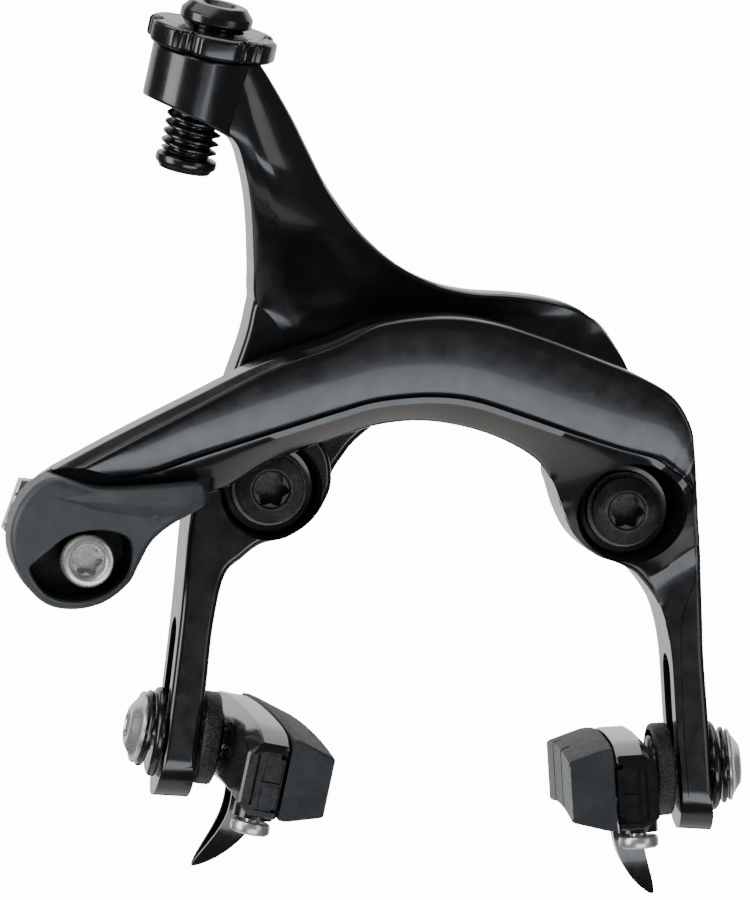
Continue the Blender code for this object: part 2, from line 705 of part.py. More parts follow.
def bend_to_rim(thing):
    """Lets both ends of a pad piece fall away with the rim's curve."""
    work = bmesh.new()
    work.from_mesh(thing.data)
    for k in range(-2, 3):
        bmesh.ops.bisect_plane(
            work,
            geom=work.verts[:] + work.edges[:] + work.faces[:],
            plane_co=metres(k * PAD_LENGTH / 6, 0, 0),
            plane_no=(1, 0, 0),
            dist=1e-7,
        )
    for vert in work.verts:
        vert.co.y -= vert.co.x**2 / (2 * RIM_RADIUS * MM)
    work.to_mesh(thing.data)
    work.free()


def pad_section(name, outline, start, end, material, frame):
    """An outline in the pad's Z and Y, extruded along the rim from start to end."""
    solid = plate(name, outline, start, end, material)
    solid.data.transform(SECTION_TO_PAD)
    bend_to_rim(solid)
    solid.parent = frame
    return solid


def make_pad_hardware(side, seat, axis):
    """The bolt and its washers: the cups sit square on the arm, and the cones tilt with the pad."""
    bore = PAD_WASHER_BORE_R
    turned(
        side + "_outer_cup_washer",
        [(bore, -PAD_ARM_FACE), (7.0, -PAD_ARM_FACE), (7.0, -3.9), (6.5, -4.3), (bore, -4.3)],
        ANODISED, seat,
    )
    turned(
        side + "_outer_cone_washer",
        [(bore, -4.9), (5.6, -4.9), (6.0, -5.2), (6.0, -5.7), (bore, -5.7)],
        ANODISED, axis,
    )
    turned(
        side + "_pad_spacer",
        [(SPACER_RECESS_R, SPACER_FRONT), (6.8, SPACER_FRONT), (7.3, 5.4), (7.3, 3.5),
         (7.0, PAD_ARM_FACE), (bore, PAD_ARM_FACE), (bore, SPACER_RECESS),
         (SPACER_RECESS_R, SPACER_RECESS)],
        TEXTURED, seat,
    )
    turned(
        side + "_inner_cone_washer",
        [(bore, 6.3), (5.0, 6.3), (5.4, 5.9), (5.4, 4.9), (bore, 4.9)],
        ANODISED, axis,
    )
    bolt = turned(
        side + "_pad_bolt",
        [(0, 8.2), (PAD_BOLT_R, 8.2), (PAD_BOLT_R, -6.0), (5.6, -6.0), (5.6, -6.6), (2.9, -8.7),
         (2.1, -8.9), (1.9, -7.0), (0, -7.0)],
        STEEL, axis,
    )
    smooth(bolt)


def upright_cylinder(name, radius, depth, at_x, at_y, frame):
    """A cylinder along a pad's height, under its holder's middle."""
    thing = block_cylinder(name, radius, depth, frame)
    thing.data.transform(Matrix.Rotation(math.pi / 2, 4, "X"))
    thing.data.transform(Matrix.Translation(metres(at_x, at_y, HOLDER_MIDDLE)))
    return thing


def make_shoe(side, inward, axis):
    """The holder, and the rubber insert whose tongue slides into it from the end by the frame."""
    half = PAD_LENGTH / 2
    tall = PAD_HEIGHT / 2
    near = -inward
    holder = pad_section(
        side + "_pad_holder",
        [(HOLDER_BACK, -tall + 1.6), (HOLDER_BACK, tall - 1.6), (8.6, tall), (HOLDER_FRONT, tall),
         (HOLDER_FRONT, -tall), (8.6, -tall)],
        -half, half, ANODISED, axis,
    )
    closed_end = near * (half - HOLDER_WALL)
    low, high = sorted((closed_end, -near * (half + 2)))
    pocket = block(side + "_pocket", (low, -tall + 2.6, POCKET_FLOOR), (high, tall - 2.6, 16.0), axis)
    bolt_bore = block_cylinder(side + "_bolt_bore", PAD_BOLT_R + GAP, 4.0, axis)
    bolt_bore.data.transform(Matrix.Translation(metres(0, 0, HOLDER_BACK - 0.1)))
    screw_x = near * half * 0.86
    boss = upright_cylinder(side + "_screw_boss", 2.6, 4.0, screw_x, -tall - 1.4, axis)
    bore_r = INSERT_SCREW_R + GAP
    screw_bore = upright_cylinder(side + "_screw_bore", bore_r, 5.6, screw_x, -tall - 1.4, axis)
    join(holder, boss, make_fin(side, near * half, tall, axis))
    cut(holder, pocket, bolt_bore, screw_bore)
    shoulder = INSERT_BACK + 1.1
    insert = pad_section(
        side + "_pad_insert",
        [(INSERT_BACK, -tall), (INSERT_BACK, tall), (shoulder, tall), (INSERT_FRONT, tall - 1.7),
         (INSERT_FRONT, -tall + 1.7), (shoulder, -tall)],
        -half, half, RUBBER, axis,
    )
    low, high = sorted((closed_end - near * GAP, -near * half))
    tongue_back = POCKET_FLOOR + GAP
    join(insert, block(side + "_tongue", (low, -tall + 4.2, tongue_back),
                       (high, tall - 3.0, INSERT_BACK + 0.4), axis))
    screw_at = (screw_x, -tall - 3.8, HOLDER_MIDDLE)
    screw_frame = empty(side + "_screw_axis", screw_at, (math.pi / 2, 0, 0))
    screw_frame.parent = axis
    turned(
        side + "_insert_screw",
        [(0, 2.1), (2.5, 2.1), (3.1, 1.6), (3.1, 0.4), (2.7, 0.0), (INSERT_SCREW_R, 0.0),
         (INSERT_SCREW_R, -4.4), (0, -4.4)],
        STEEL, screw_frame, 24,
    )


def make_fin(side, near, tall, axis):
    """The horn under the holder that guides the wheel in, thin and curved outward."""
    profile = [
        (12.8, 0.6), (13.0, -1.4), (12.2, -4.6), (9.6, -9.1), (7.2, -12.4), (6.9, -11.8),
        (8.0, -7.6), (8.9, -4.6), (9.3, 0.6),
    ]
    line = smooth_outline([(across, down - tall) for across, down in profile], 2)
    fin = plate(side + "_fin", line, -FIN_HALF_WIDTH, FIN_HALF_WIDTH, collection=cutters)
    fin.data.transform(SECTION_TO_PAD)
    fin.data.transform(Matrix.Translation(metres(near * 0.3, 0, 0)))
    fin.parent = axis
    return fin


def make_pad(side, inward, slot, seat_tilt, toe, pitch):
    seat = pad_frame(side + "_pad_seat", slot, inward, seat_tilt)
    axis = pad_frame(side + "_pad_axis", slot, inward, PAD_TILT, toe, pitch)
    make_pad_hardware(side, seat, axis)
    make_shoe(side, inward, axis)


make_bridge()
for side_name, side_x, side_turn in (("left", -PIVOT_X, 1), ("right", PIVOT_X, -1)):
    make_mount(side_name, side_x)
    make_spring(side_name, side_x, side_turn)
make_rear_arm()
make_front_arm()
make_link()
make_centring_screw()
make_quick_release()
make_adjuster()
make_pad("left", 1, LEFT_SLOT, LEFT_SEAT_TILT, LEFT_TOE, LEFT_PITCH)
make_pad("right", -1, RIGHT_SLOT, RIGHT_SEAT_TILT, RIGHT_TOE, RIGHT_PITCH)
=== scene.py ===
import json
import math

import bmesh
import bpy
from mathutils import Matrix, Vector


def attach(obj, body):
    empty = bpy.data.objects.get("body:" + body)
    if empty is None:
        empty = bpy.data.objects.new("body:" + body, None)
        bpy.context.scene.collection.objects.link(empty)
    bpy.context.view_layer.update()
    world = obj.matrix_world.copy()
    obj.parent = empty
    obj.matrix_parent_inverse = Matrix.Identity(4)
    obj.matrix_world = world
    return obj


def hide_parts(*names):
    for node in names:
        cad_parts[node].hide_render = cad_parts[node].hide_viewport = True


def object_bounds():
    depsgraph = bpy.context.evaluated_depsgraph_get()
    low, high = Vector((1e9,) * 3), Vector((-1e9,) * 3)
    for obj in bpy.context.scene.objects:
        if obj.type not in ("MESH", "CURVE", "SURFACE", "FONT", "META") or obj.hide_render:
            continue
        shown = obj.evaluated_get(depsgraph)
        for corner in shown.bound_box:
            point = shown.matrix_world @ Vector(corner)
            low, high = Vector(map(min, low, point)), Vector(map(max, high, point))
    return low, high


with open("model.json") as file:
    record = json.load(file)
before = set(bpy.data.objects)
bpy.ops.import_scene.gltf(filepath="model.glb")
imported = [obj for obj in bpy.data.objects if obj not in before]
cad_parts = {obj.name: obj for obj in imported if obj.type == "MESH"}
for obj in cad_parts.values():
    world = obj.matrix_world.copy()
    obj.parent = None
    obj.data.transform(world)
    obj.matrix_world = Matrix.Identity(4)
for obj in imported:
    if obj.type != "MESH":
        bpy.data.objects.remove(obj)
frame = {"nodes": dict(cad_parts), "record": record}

CAD_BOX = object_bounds()
JOINTS = {joint["name"]: joint for joint in frame["record"]["behaviour"]["joints"]}
MM = 0.001

# Depths along Y, in millimetres, as in the CAD model
ARM_BACK = -3.0
REAR_ARM_FRONT = -14.0
PAD_ARM_FRONT = -16.0
FRONT_ARM_BACK = -17.2
LUG_FRONT = -20.6
BUSH_BACK = -7.4
PAD_Y = -9.5

PIVOT_X = 28.0
LEFT_SLOT = (-38.95, -39.6)
RIGHT_SLOT = (41.9, -40.2)
LEFT_SEAT_TILT = math.radians(3.5)
RIGHT_SEAT_TILT = math.radians(7.4)
PAD_TILT = math.radians(7.6)
LEFT_TOE = math.radians(2.4)
RIGHT_TOE = math.radians(5.0)
LEFT_PITCH = math.radians(1.5)
RIGHT_PITCH = math.radians(-3.0)

# Axes along Y, in X and Z
CAM = (-59.0, -8.7)
ANCHOR = (-57.4, -11.4)
ROLLER = (1.0, 21.5)

RIM_RADIUS = 311.0
PAD_HALF = 25           # half the length of a pad
HOLDER_HALF = 6.4       # half the height of a pad holder
SCREW_X = 21.5          # the insert screw, along the rim from the pad's middle
SCREW_Z = 10.0          # and towards the rim
FIN_X = 7.5             # the fin, along the rim from the pad's middle
FIN_DEPTH = 12.4        # from the holder's underside to the fin's tip

ROUND = 96              # segments round a turned piece


# Camera, lights and floor

CAMERA_YAW = math.radians(8.5)
CAMERA_RISE = math.radians(5.0)
CAMERA_ROLL = math.radians(4.25)
CAMERA_DISTANCE = 1.5
CAMERA_LENS = 386.8
CAMERA_TARGET = Vector((0.0, -0.017, 0.0))
CAMERA_ASIDE = Vector((-0.01229, 0.00705))
FLOOR_GLOW = 14.0


def view_axes():
    """The view's direction, its right and its up, before the camera's roll."""
    look = Vector((
        math.sin(CAMERA_YAW) * math.cos(CAMERA_RISE),
        math.cos(CAMERA_YAW) * math.cos(CAMERA_RISE),
        -math.sin(CAMERA_RISE),
    ))
    right = Vector((math.cos(CAMERA_YAW), -math.sin(CAMERA_YAW), 0))
    return look, right, right.cross(look)


def make_camera():
    look, right, up = view_axes()
    cos, sin = math.cos(CAMERA_ROLL), math.sin(CAMERA_ROLL)
    across = right * cos + up * sin
    upright = up * cos - right * sin
    target = CAMERA_TARGET + right * CAMERA_ASIDE.x + up * CAMERA_ASIDE.y
    data = bpy.data.cameras.new("camera")
    data.lens = CAMERA_LENS
    data.sensor_width = 36.0
    data.clip_end = 20.0
    camera = bpy.data.objects.new("camera", data)
    turn = Matrix((across, upright, -look)).transposed().to_4x4()
    camera.matrix_world = Matrix.Translation(target - look * CAMERA_DISTANCE) @ turn
    bpy.context.scene.collection.objects.link(camera)
    bpy.context.scene.camera = camera


def make_softbox(name, at, aim, size, glow, colour=(1, 1, 1)):
    """A rectangular lamp; its glow is the radiance that a mirror would show of it."""
    data = bpy.data.lights.new(name, "AREA")
    data.shape = "RECTANGLE"
    data.size, data.size_y = size
    data.energy = glow * math.pi * size[0] * size[1]
    data.color = colour
    lamp = bpy.data.objects.new(name, data)
    lamp.location = at
    lamp.rotation_euler = (Vector(aim) - Vector(at)).to_track_quat("-Z", "Y").to_euler()
    lamp.visible_camera = False
    bpy.context.scene.collection.objects.link(lamp)


def make_lights():
    """Seven softboxes; the two low ones shine through the floor, which casts no shadow."""
    middle = (0, -0.015, 0.01)
    make_softbox("overhead", (-0.05, 0.10, 0.80), middle, (1.0, 0.8), 1.5)
    make_softbox("front_low", (0.12, -0.90, -0.42), middle, (0.9, 0.36), 3.2, (0.88, 0.94, 1.0))
    make_softbox("under", (0.0, 0.12, -0.45), middle, (1.0, 0.62), 0.65, (1.0, 0.97, 0.90))
    make_softbox("side_left", (-0.85, -0.32, 0.12), middle, (0.45, 0.8), 4.5)
    make_softbox("side_right", (0.68, -0.80, 0.10), middle, (0.42, 0.6), 1.3)
    make_softbox("behind", (0.1, 1.1, 0.25), middle, (3.0, 1.4), 1.0)
    make_softbox("upper_left", (-0.52, -0.62, 0.50), middle, (0.40, 0.40), 2.0)


def make_floor():
    """A pale bowl under and around the object, seen directly but not in the object's gloss."""
    floor_z = CAD_BOX[0][2] - 0.002
    profile = [(2.0, 0.0), (3.7, 0.08), (4.7, 0.85), (5.0, 2.7), (4.0, 5.0), (0.0, 5.8)]
    work = bmesh.new()
    rings = []
    for radius, height in profile:
        ring = []
        for angle in circle():
            at = (radius * math.cos(angle), radius * math.sin(angle), floor_z + height)
            ring.append(work.verts.new(at))
        rings.append(ring)
    work.faces.new(rings[0])
    for low, high in zip(rings, rings[1:]):
        for k in range(ROUND):
            after = (k + 1) % ROUND
            work.faces.new((low[k], low[after], high[after], high[k]))
    data = bpy.data.meshes.new("floor")
    work.to_mesh(data)
    work.free()
    data.shade_smooth()
    floor = bpy.data.objects.new("floor", data)
    floor.visible_glossy = False
    floor.visible_diffuse = False
    floor.visible_shadow = False
    bpy.context.scene.collection.objects.link(floor)
    paint = bpy.data.materials.new("floor_paint")
    paint.use_nodes = True
    shader = paint.node_tree.nodes["Principled BSDF"]
    shader.inputs["Base Color"].default_value = (0.8, 0.8, 0.8, 1)
    shader.inputs["Roughness"].default_value = 0.9
    shader.inputs["Emission Color"].default_value = (1, 1, 1, 1)
    shader.inputs["Emission Strength"].default_value = FLOOR_GLOW
    data.materials.append(paint)


def make_room():
    """The dim surroundings that the object's gloss reflects between the lights."""
    world = bpy.data.worlds.new("room")
    world.use_nodes = True
    world.node_tree.nodes["Background"].inputs["Color"].default_value = (0.9, 0.95, 1.0, 1)
    world.node_tree.nodes["Background"].inputs["Strength"].default_value = 0.09
    bpy.context.scene.world = world


# Materials: lengths inside them are in millimetres, because the coordinates are scaled up


class Shade:
    """A Principled material with small helpers for its procedural nodes."""

    def __init__(self, name, **fixed):
        self.material = bpy.data.materials.new(name)
        self.material.use_nodes = True
        self.tree = self.material.node_tree
        self.shader = self.tree.nodes["Principled BSDF"]
        for socket, value in fixed.items():
            self.shader.inputs[socket.replace("_", " ")].default_value = value
        place = self.node("ShaderNodeTexCoord")
        scale = self.node("ShaderNodeMapping")
        scale.inputs["Scale"].default_value = (1000, 1000, 1000)
        self.link(place.outputs["Object"], scale.inputs["Vector"])
        self.place = scale.outputs["Vector"]

    def node(self, kind):
        return self.tree.nodes.new(kind)

    def link(self, start, end):
        self.tree.links.new(start, end)

    def noise(self, scale, detail, stretch=None):
        noise = self.node("ShaderNodeTexNoise")
        noise.inputs["Scale"].default_value = scale
        noise.inputs["Detail"].default_value = detail
        place = self.place
        if stretch:
            squeeze = self.node("ShaderNodeMapping")
            squeeze.inputs["Scale"].default_value = stretch
            self.link(place, squeeze.inputs["Vector"])
            place = squeeze.outputs["Vector"]
        self.link(place, noise.inputs["Vector"])
        return noise.outputs["Fac"]

    def cells(self, scale):
        cells = self.node("ShaderNodeTexVoronoi")
        cells.inputs["Scale"].default_value = scale
        self.link(self.place, cells.inputs["Vector"])
        return cells.outputs["Distance"]

    def ramp(self, value, *stops):
        """A colour ramp; each stop is a position and a grey or a colour."""
        ramp = self.node("ShaderNodeValToRGB")
        elements = ramp.color_ramp.elements
        while len(elements) < len(stops):
            elements.new(0.5)
        for element, (position, colour) in zip(elements, stops):
            element.position = position
            rgb = colour if isinstance(colour, tuple) else (colour, colour, colour)
            element.color = (*rgb, 1)
        self.link(value, ramp.inputs["Fac"])
        return ramp.outputs["Color"]

    def blend(self, amount, low, high):
        """low and high are colours or sockets, mixed by a socket."""
        mix = self.node("ShaderNodeMix")
        mix.data_type = "RGBA"
        for index, value in ((0, amount), (6, low), (7, high)):
            if isinstance(value, bpy.types.NodeSocket):
                self.link(value, mix.inputs[index])
            else:
                mix.inputs[index].default_value = (*value, 1)
        return mix.outputs[2]

    def colour(self, value):
        self.link(value, self.shader.inputs["Base Color"])

    def rough(self, value):
        self.link(value, self.shader.inputs["Roughness"])

    def bump(self, height, distance, strength):
        """A bump whose distance is in millimetres."""
        bump = self.node("ShaderNodeBump")
        bump.inputs["Distance"].default_value = distance * MM
        bump.inputs["Strength"].default_value = strength
        self.link(height, bump.inputs["Height"])
        self.link(bump.outputs["Normal"], self.shader.inputs["Normal"])


def anodised():
    """Glossy black over a forged surface: faint mottling, fine dust and soft ripple."""
    shade = Shade("anodised_black", Metallic=0.0, IOR=1.62, Coat_Weight=0.35, Coat_Roughness=0.06)
    mottle = shade.noise(0.09, 4)
    dust = shade.ramp(shade.noise(2.6, 6), (0.70, 0.0), (0.80, 1.0))
    body = shade.ramp(mottle, (0.3, (0.0042, 0.0046, 0.0056)), (0.7, (0.0078, 0.0085, 0.0102)))
    shade.colour(shade.blend(dust, body, (0.018, 0.020, 0.023)))
    shade.rough(shade.ramp(shade.noise(0.35, 5), (0.3, 0.17), (0.7, 0.27)))
    shade.bump(shade.noise(1.1, 5), 0.012, 0.5)
    return shade.material


def noisy(name, body, polish, grain, **fixed):
    """A finish of three noises, each given by scale and detail: its colour, its roughness and its bump."""
    shade = Shade(name, **fixed)
    noise, dark, light = body
    shade.colour(shade.ramp(shade.noise(*noise), (0.3, dark), (0.7, light)))
    noise, smoothest, roughest, end = polish
    shade.rough(shade.ramp(shade.noise(*noise), (0.3, smoothest), (end, roughest)))
    noise, distance, strength = grain
    shade.bump(shade.noise(*noise), distance, strength)
    return shade.material


def rubber():
    """Matte brake rubber: moulded grain, grey bloom and a few scuffs."""
    shade = Shade("pad_rubber", Metallic=0.0, IOR=1.48)
    bloom = shade.ramp(shade.noise(0.22, 5), (0.3, (0.020, 0.022, 0.025)), (0.75, (0.040, 0.044, 0.050)))
    scuffs = shade.ramp(shade.noise(1.6, 6, (1, 0.25, 1)), (0.66, 0.0), (0.74, 1.0))
    shade.colour(shade.blend(scuffs, bloom, (0.062, 0.068, 0.074)))
    shade.rough(shade.ramp(shade.noise(1.0, 4), (0.3, 0.52), (0.7, 0.68)))
    shade.bump(shade.noise(5.5, 6), 0.03, 0.6)
    return shade.material


def rubbed_rubber():
    """The braking face, rubbed to a lighter grey with streaks along the rim."""
    shade = Shade("braking_face", Metallic=0.0, IOR=1.45)
    streaks = shade.noise(1.1, 6, (1, 0.12, 1.6))
    shade.colour(shade.ramp(streaks, (0.3, (0.20, 0.215, 0.215)), (0.7, (0.33, 0.345, 0.34))))
    shade.rough(shade.ramp(streaks, (0.3, 0.6), (0.7, 0.8)))
    shade.bump(streaks, 0.04, 0.7)
    return shade.material


def textured():
    """The spacers' sparkling moulded texture."""
    shade = Shade("textured_black", Metallic=0.0, IOR=1.55)
    grain = shade.cells(4.2)
    shade.colour(shade.ramp(grain, (0.08, (0.17, 0.175, 0.18)), (0.42, (0.016, 0.016, 0.017))))
    shade.rough(shade.ramp(shade.noise(3.0, 3), (0.3, 0.30), (0.7, 0.48)))
    shade.bump(grain, 0.11, 1.0)
    return shade.material


MATERIALS = {
    "anodised_black": anodised(),
    # Deeper black gloss on the pad holders
    "gloss_black": noisy(
        "gloss_black", ((0.4, 4), (0.004, 0.0043, 0.005), (0.008, 0.0083, 0.009)),
        ((0.9, 5), 0.14, 0.26, 0.75), ((1.8, 4), 0.01, 0.4),
        Metallic=0.0, IOR=1.6, Coat_Weight=0.5, Coat_Roughness=0.05),
    # The lever's satin grey, with a fine blasted grain
    "satin_grey": noisy(
        "satin_grey", ((0.3, 4), (0.062, 0.071, 0.076), (0.082, 0.092, 0.098)),
        ((1.2, 6), 0.40, 0.52, 0.7), ((9.0, 3), 0.01, 0.6), Metallic=0.15, IOR=1.5),
    # Bright machined steel, slightly warm, with fine uneven polish
    "stainless": noisy(
        "stainless", ((0.8, 5), (0.66, 0.645, 0.62), (0.80, 0.785, 0.76)),
        ((2.4, 6), 0.24, 0.34, 0.7), ((3.0, 4), 0.004, 0.35), Metallic=0.8),
    # Black oxide on the mount bolts and their washers, a little brown where light falls
    "black_oxide": noisy(
        "black_oxide", ((0.8, 5), (0.085, 0.083, 0.078), (0.135, 0.131, 0.122)),
        ((2.0, 6), 0.24, 0.38, 0.7), ((3.0, 4), 0.004, 0.35), Metallic=0.75),
    "pad_rubber": rubber(),
    "textured_black": textured(),
    "bush_bronze": noisy(
        "bush_bronze", ((1.0, 5), (0.36, 0.22, 0.09), (0.50, 0.33, 0.15)),
        ((3.0, 5), 0.28, 0.45, 0.7), ((6.0, 4), 0.02, 0.6), Metallic=1.0),
}
BRAKING_FACE = rubbed_rubber()
# Painted shade: the near-black colour inside the lever's recess stands in for the shadow that fills it
RECESS_PAINTED_SHADE = noisy(
    "painted_recess_shade", ((2.5, 5), (0.0016, 0.0017, 0.0019), (0.0040, 0.0042, 0.0046)),
    ((1.2, 4), 0.55, 0.75, 0.7), ((0.4, 3), 0.01, 0.4))


# Mesh helpers: every length they take is in millimetres


def spot(x, y, z):
    return Vector((x, y, z)) * MM


def new_object(name, mesh, material):
    thing = bpy.data.objects.new(name, mesh)
    bpy.context.scene.collection.objects.link(thing)
    if material:
        mesh.materials.append(material)
    return thing


def built(work, name, material):
    """The object of a finished bmesh."""
    bmesh.ops.recalc_face_normals(work, faces=work.faces)
    mesh = bpy.data.meshes.new(name)
    work.to_mesh(mesh)
    work.free()
    return new_object(name, mesh, material)


def circle(steps=ROUND):
    """The angles of equal steps round a circle."""
    return [2 * math.pi * k / steps for k in range(steps)]


def add_material(thing, material):
    """Adds a second material to a piece and gives its slot's number."""
    thing.data.materials.append(material)
    return len(thing.data.materials) - 1


def curve_through(points, steps):
    """An open Catmull-Rom line through points of any size."""
    points = [Vector(point) for point in points]
    ends = [2 * points[0] - points[1]] + points + [2 * points[-1] - points[-2]]
    line = []
    for before, start, end, after in zip(ends, ends[1:], ends[2:], ends[3:]):
        for step in range(steps):
            line.append(bend(before, start, end, after, step / steps))
    return line + [points[-1]]


def bend(before, start, end, after, t):
    return 0.5 * (
        2 * start
        + (end - before) * t
        + (2 * before - 5 * start + 4 * end - after) * t**2
        + (3 * start - before - 3 * end + after) * t**3
    )


def closed_line(points, steps):
    """A closed Catmull-Rom line; a point given twice stays a corner."""
    count = len(points)
    line = []
    for i in range(count):
        before, start, end, after = (Vector(points[(i + k) % count]) for k in (-1, 0, 1, 2))
        if (end - start).length > 1e-6:
            line += [bend(before, start, end, after, step / steps) for step in range(steps)]
    return line


def loft(name, sections, material):
    """A closed solid through rings of equally many points."""
    work = bmesh.new()
    rings = [[work.verts.new(point * MM) for point in ring] for ring in sections]
    count = len(rings[0])
    for low, high in zip(rings, rings[1:]):
        for i in range(count):
            work.faces.new((low[i], low[(i + 1) % count], high[(i + 1) % count], high[i]))
    work.faces.new(rings[0][::-1])
    work.faces.new(rings[-1])
    return built(work, name, material)


def prism(name, outline, front, back):
    """A cutter with an outline in X and Z, extruded along Y."""
    return loft(name, [[Vector((x, depth, z)) for x, z in outline] for depth in (front, back)], None)


def turn_about(name, profile, place, material, steps=ROUND):
    """A solid turned about the place's Z axis; a radius may also be a list, one for each step."""
    work = bmesh.new()
    rings = []
    for radius, height in profile:
        if radius == 0:
            rings.append([work.verts.new((0, 0, height * MM))])
            continue
        reach = radius if isinstance(radius, list) else [radius] * steps
        ring = []
        for out, angle in zip(reach, circle(steps)):
            ring.append(work.verts.new(spot(out * math.cos(angle), out * math.sin(angle), height)))
        rings.append(ring)
    if len(rings[0]) > 1:
        rings.append(rings[0])
    for low, high in zip(rings, rings[1:]):
        for k in range(steps):
            after = (k + 1) % steps
            if len(low) == 1:
                work.faces.new((low[0], high[k], high[after]))
            elif len(high) == 1:
                work.faces.new((low[k], high[0], low[after]))
            else:
                work.faces.new((low[k], high[k], high[after], low[after]))
    thing = built(work, name, material)
    thing.data.transform(place)
    return thing


def cylinder(name, start, end, radius, sides=ROUND):
    """A cutter from start to end."""
    start, end = Vector(start), Vector(end)
    span = end - start
    place = Matrix.Translation(start * MM) @ span.to_track_quat("Z", "Y").to_matrix().to_4x4()
    profile = [(0, 0), (radius, 0), (radius, span.length), (0, span.length)]
    return turn_about(name, profile, place, None, sides)


def bore(name, at, begin, end, radius, sides=ROUND):
    """A cutter along Y at a place in X and Z."""
    return cylinder(name, (at[0], begin, at[1]), (at[0], end, at[1]), radius, sides)


def carve(thing, *others, operation="DIFFERENCE"):
    """Cuts or joins other meshes and applies the result, so that no cutter stays."""
    for other in others:
        if not other.data.materials:
            other.data.materials.append(thing.data.materials[0])
        boolean = thing.modifiers.new("carve", "BOOLEAN")
        boolean.operation = operation
        boolean.object = other
        boolean.solver = "MANIFOLD"
        apply_modifiers(thing)
        bpy.data.objects.remove(other, do_unlink=True)


def apply_modifiers(thing):
    bpy.context.view_layer.update()
    depsgraph = bpy.context.evaluated_depsgraph_get()
    mesh = bpy.data.meshes.new_from_object(thing.evaluated_get(depsgraph))
    mesh.name = thing.name
    thing.modifiers.clear()
    thing.data = mesh


def joint_place(name):
    """The frame of a hinge, with Z along its axis and its origin on the axis."""
    joint = JOINTS[name]
    axis = Vector(joint["axis"]).normalized()
    return Matrix.Translation(joint["pos_m"]) @ axis.to_track_quat("Z", "Y").to_matrix().to_4x4()


BODY_OF = {node: body for body, nodes in frame["record"]["behaviour"]["bodies"].items() for node in nodes}
SLOT_OF = {part["node"]: part["material_slot"] for part in frame["record"]["subparts"]}


def stand_for(thing, *nodes):
    """Puts a finished piece in place of its CAD nodes, on their body."""
    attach(thing, BODY_OF[nodes[0]])
    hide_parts(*nodes)


def smooth(thing, angle=36.0):
    """Shades a piece smooth between its sharp edges, with flat faces kept flat."""
    thing.data.shade_smooth()
    thing.data.set_sharp_from_angle(angle=math.radians(angle))
    weigh = thing.modifiers.new("even_normals", "WEIGHTED_NORMAL")
    weigh.keep_sharp = True
    return thing


def inset(line, distance):
    """A closed anticlockwise line, moved inward."""
    moved = []
    for i, point in enumerate(line):
        along = (line[(i + 1) % len(line)] - line[i - 1]).normalized()
        moved.append(point + Vector((-along.y, along.x)) * distance)
    return moved


def anticlockwise(points):
    line = [Vector(point) for point in points]
    area = sum(line[i - 1].x * line[i].y - line[i].x * line[i - 1].y for i in range(len(line)))
    return line if area > 0 else line[::-1]


BACK_EDGE = 0.4


def rounded_prism(name, outline, front, back, edge, material, steps=4):
    """An outline in X and Z between two depths, with quarter-round edges."""
    line = anticlockwise(outline)
    rings = []
    for radius, depth, way in ((edge, front, 1), (BACK_EDGE, back, -1)):
        rim = []
        for k in range(steps + 1):
            angle = math.pi / 2 * k / steps
            level = depth + way * radius * (1 - math.sin(angle))
            shrunk = inset(line, radius * (1 - math.cos(angle)))
            rim.append([Vector((point.x, level, point.y)) for point in shrunk])
        rings += rim[::-1] if way > 0 else rim
    return loft(name, rings, material)


def stadium(low, high, radius, steps=16):
    """A slot's outline: two half circles about heights low and high, joined by straight sides."""
    line = []
    for centre, begin in ((high, 0.0), (low, math.pi)):
        for k in range(steps + 1):
            angle = begin + math.pi * k / steps
            line.append((radius * math.cos(angle), centre + radius * math.sin(angle)))
    return line


def star_cutter(place, radius, low, high, depth_of_lobe=0.13):
    """A six-lobed drive socket's cutter between two heights of a place's Z axis."""
    line = []
    for angle in circle(72):
        reach = radius * (1 + depth_of_lobe * math.cos(6 * angle))
        line.append((reach * math.cos(angle), reach * math.sin(angle)))
    cutter = loft("socket", [[Vector((x, y, height)) for x, y in line] for height in (low, high)], None)
    cutter.data.transform(place)
    return cutter


def stand_turned(name, node, profile, place, finish, angle=36.0, socket=None):
    """A turned piece for one CAD node; a socket is a radius, two heights and perhaps a lobe's depth."""
    piece = turn_about(name, profile, place, MATERIALS[finish])
    if socket:
        carve(piece, star_cutter(place, *socket))
    stand_for(smooth(piece, angle), node)


def forward_place(x, z):
    """A place whose Z points forward, along -Y, from the mounting face."""
    return Matrix.Translation(spot(x, 0, z)) @ Matrix.Rotation(math.pi / 2, 4, "X")


# Front arm: each section runs over its outer edge, crowned face, grooved crease and bevel

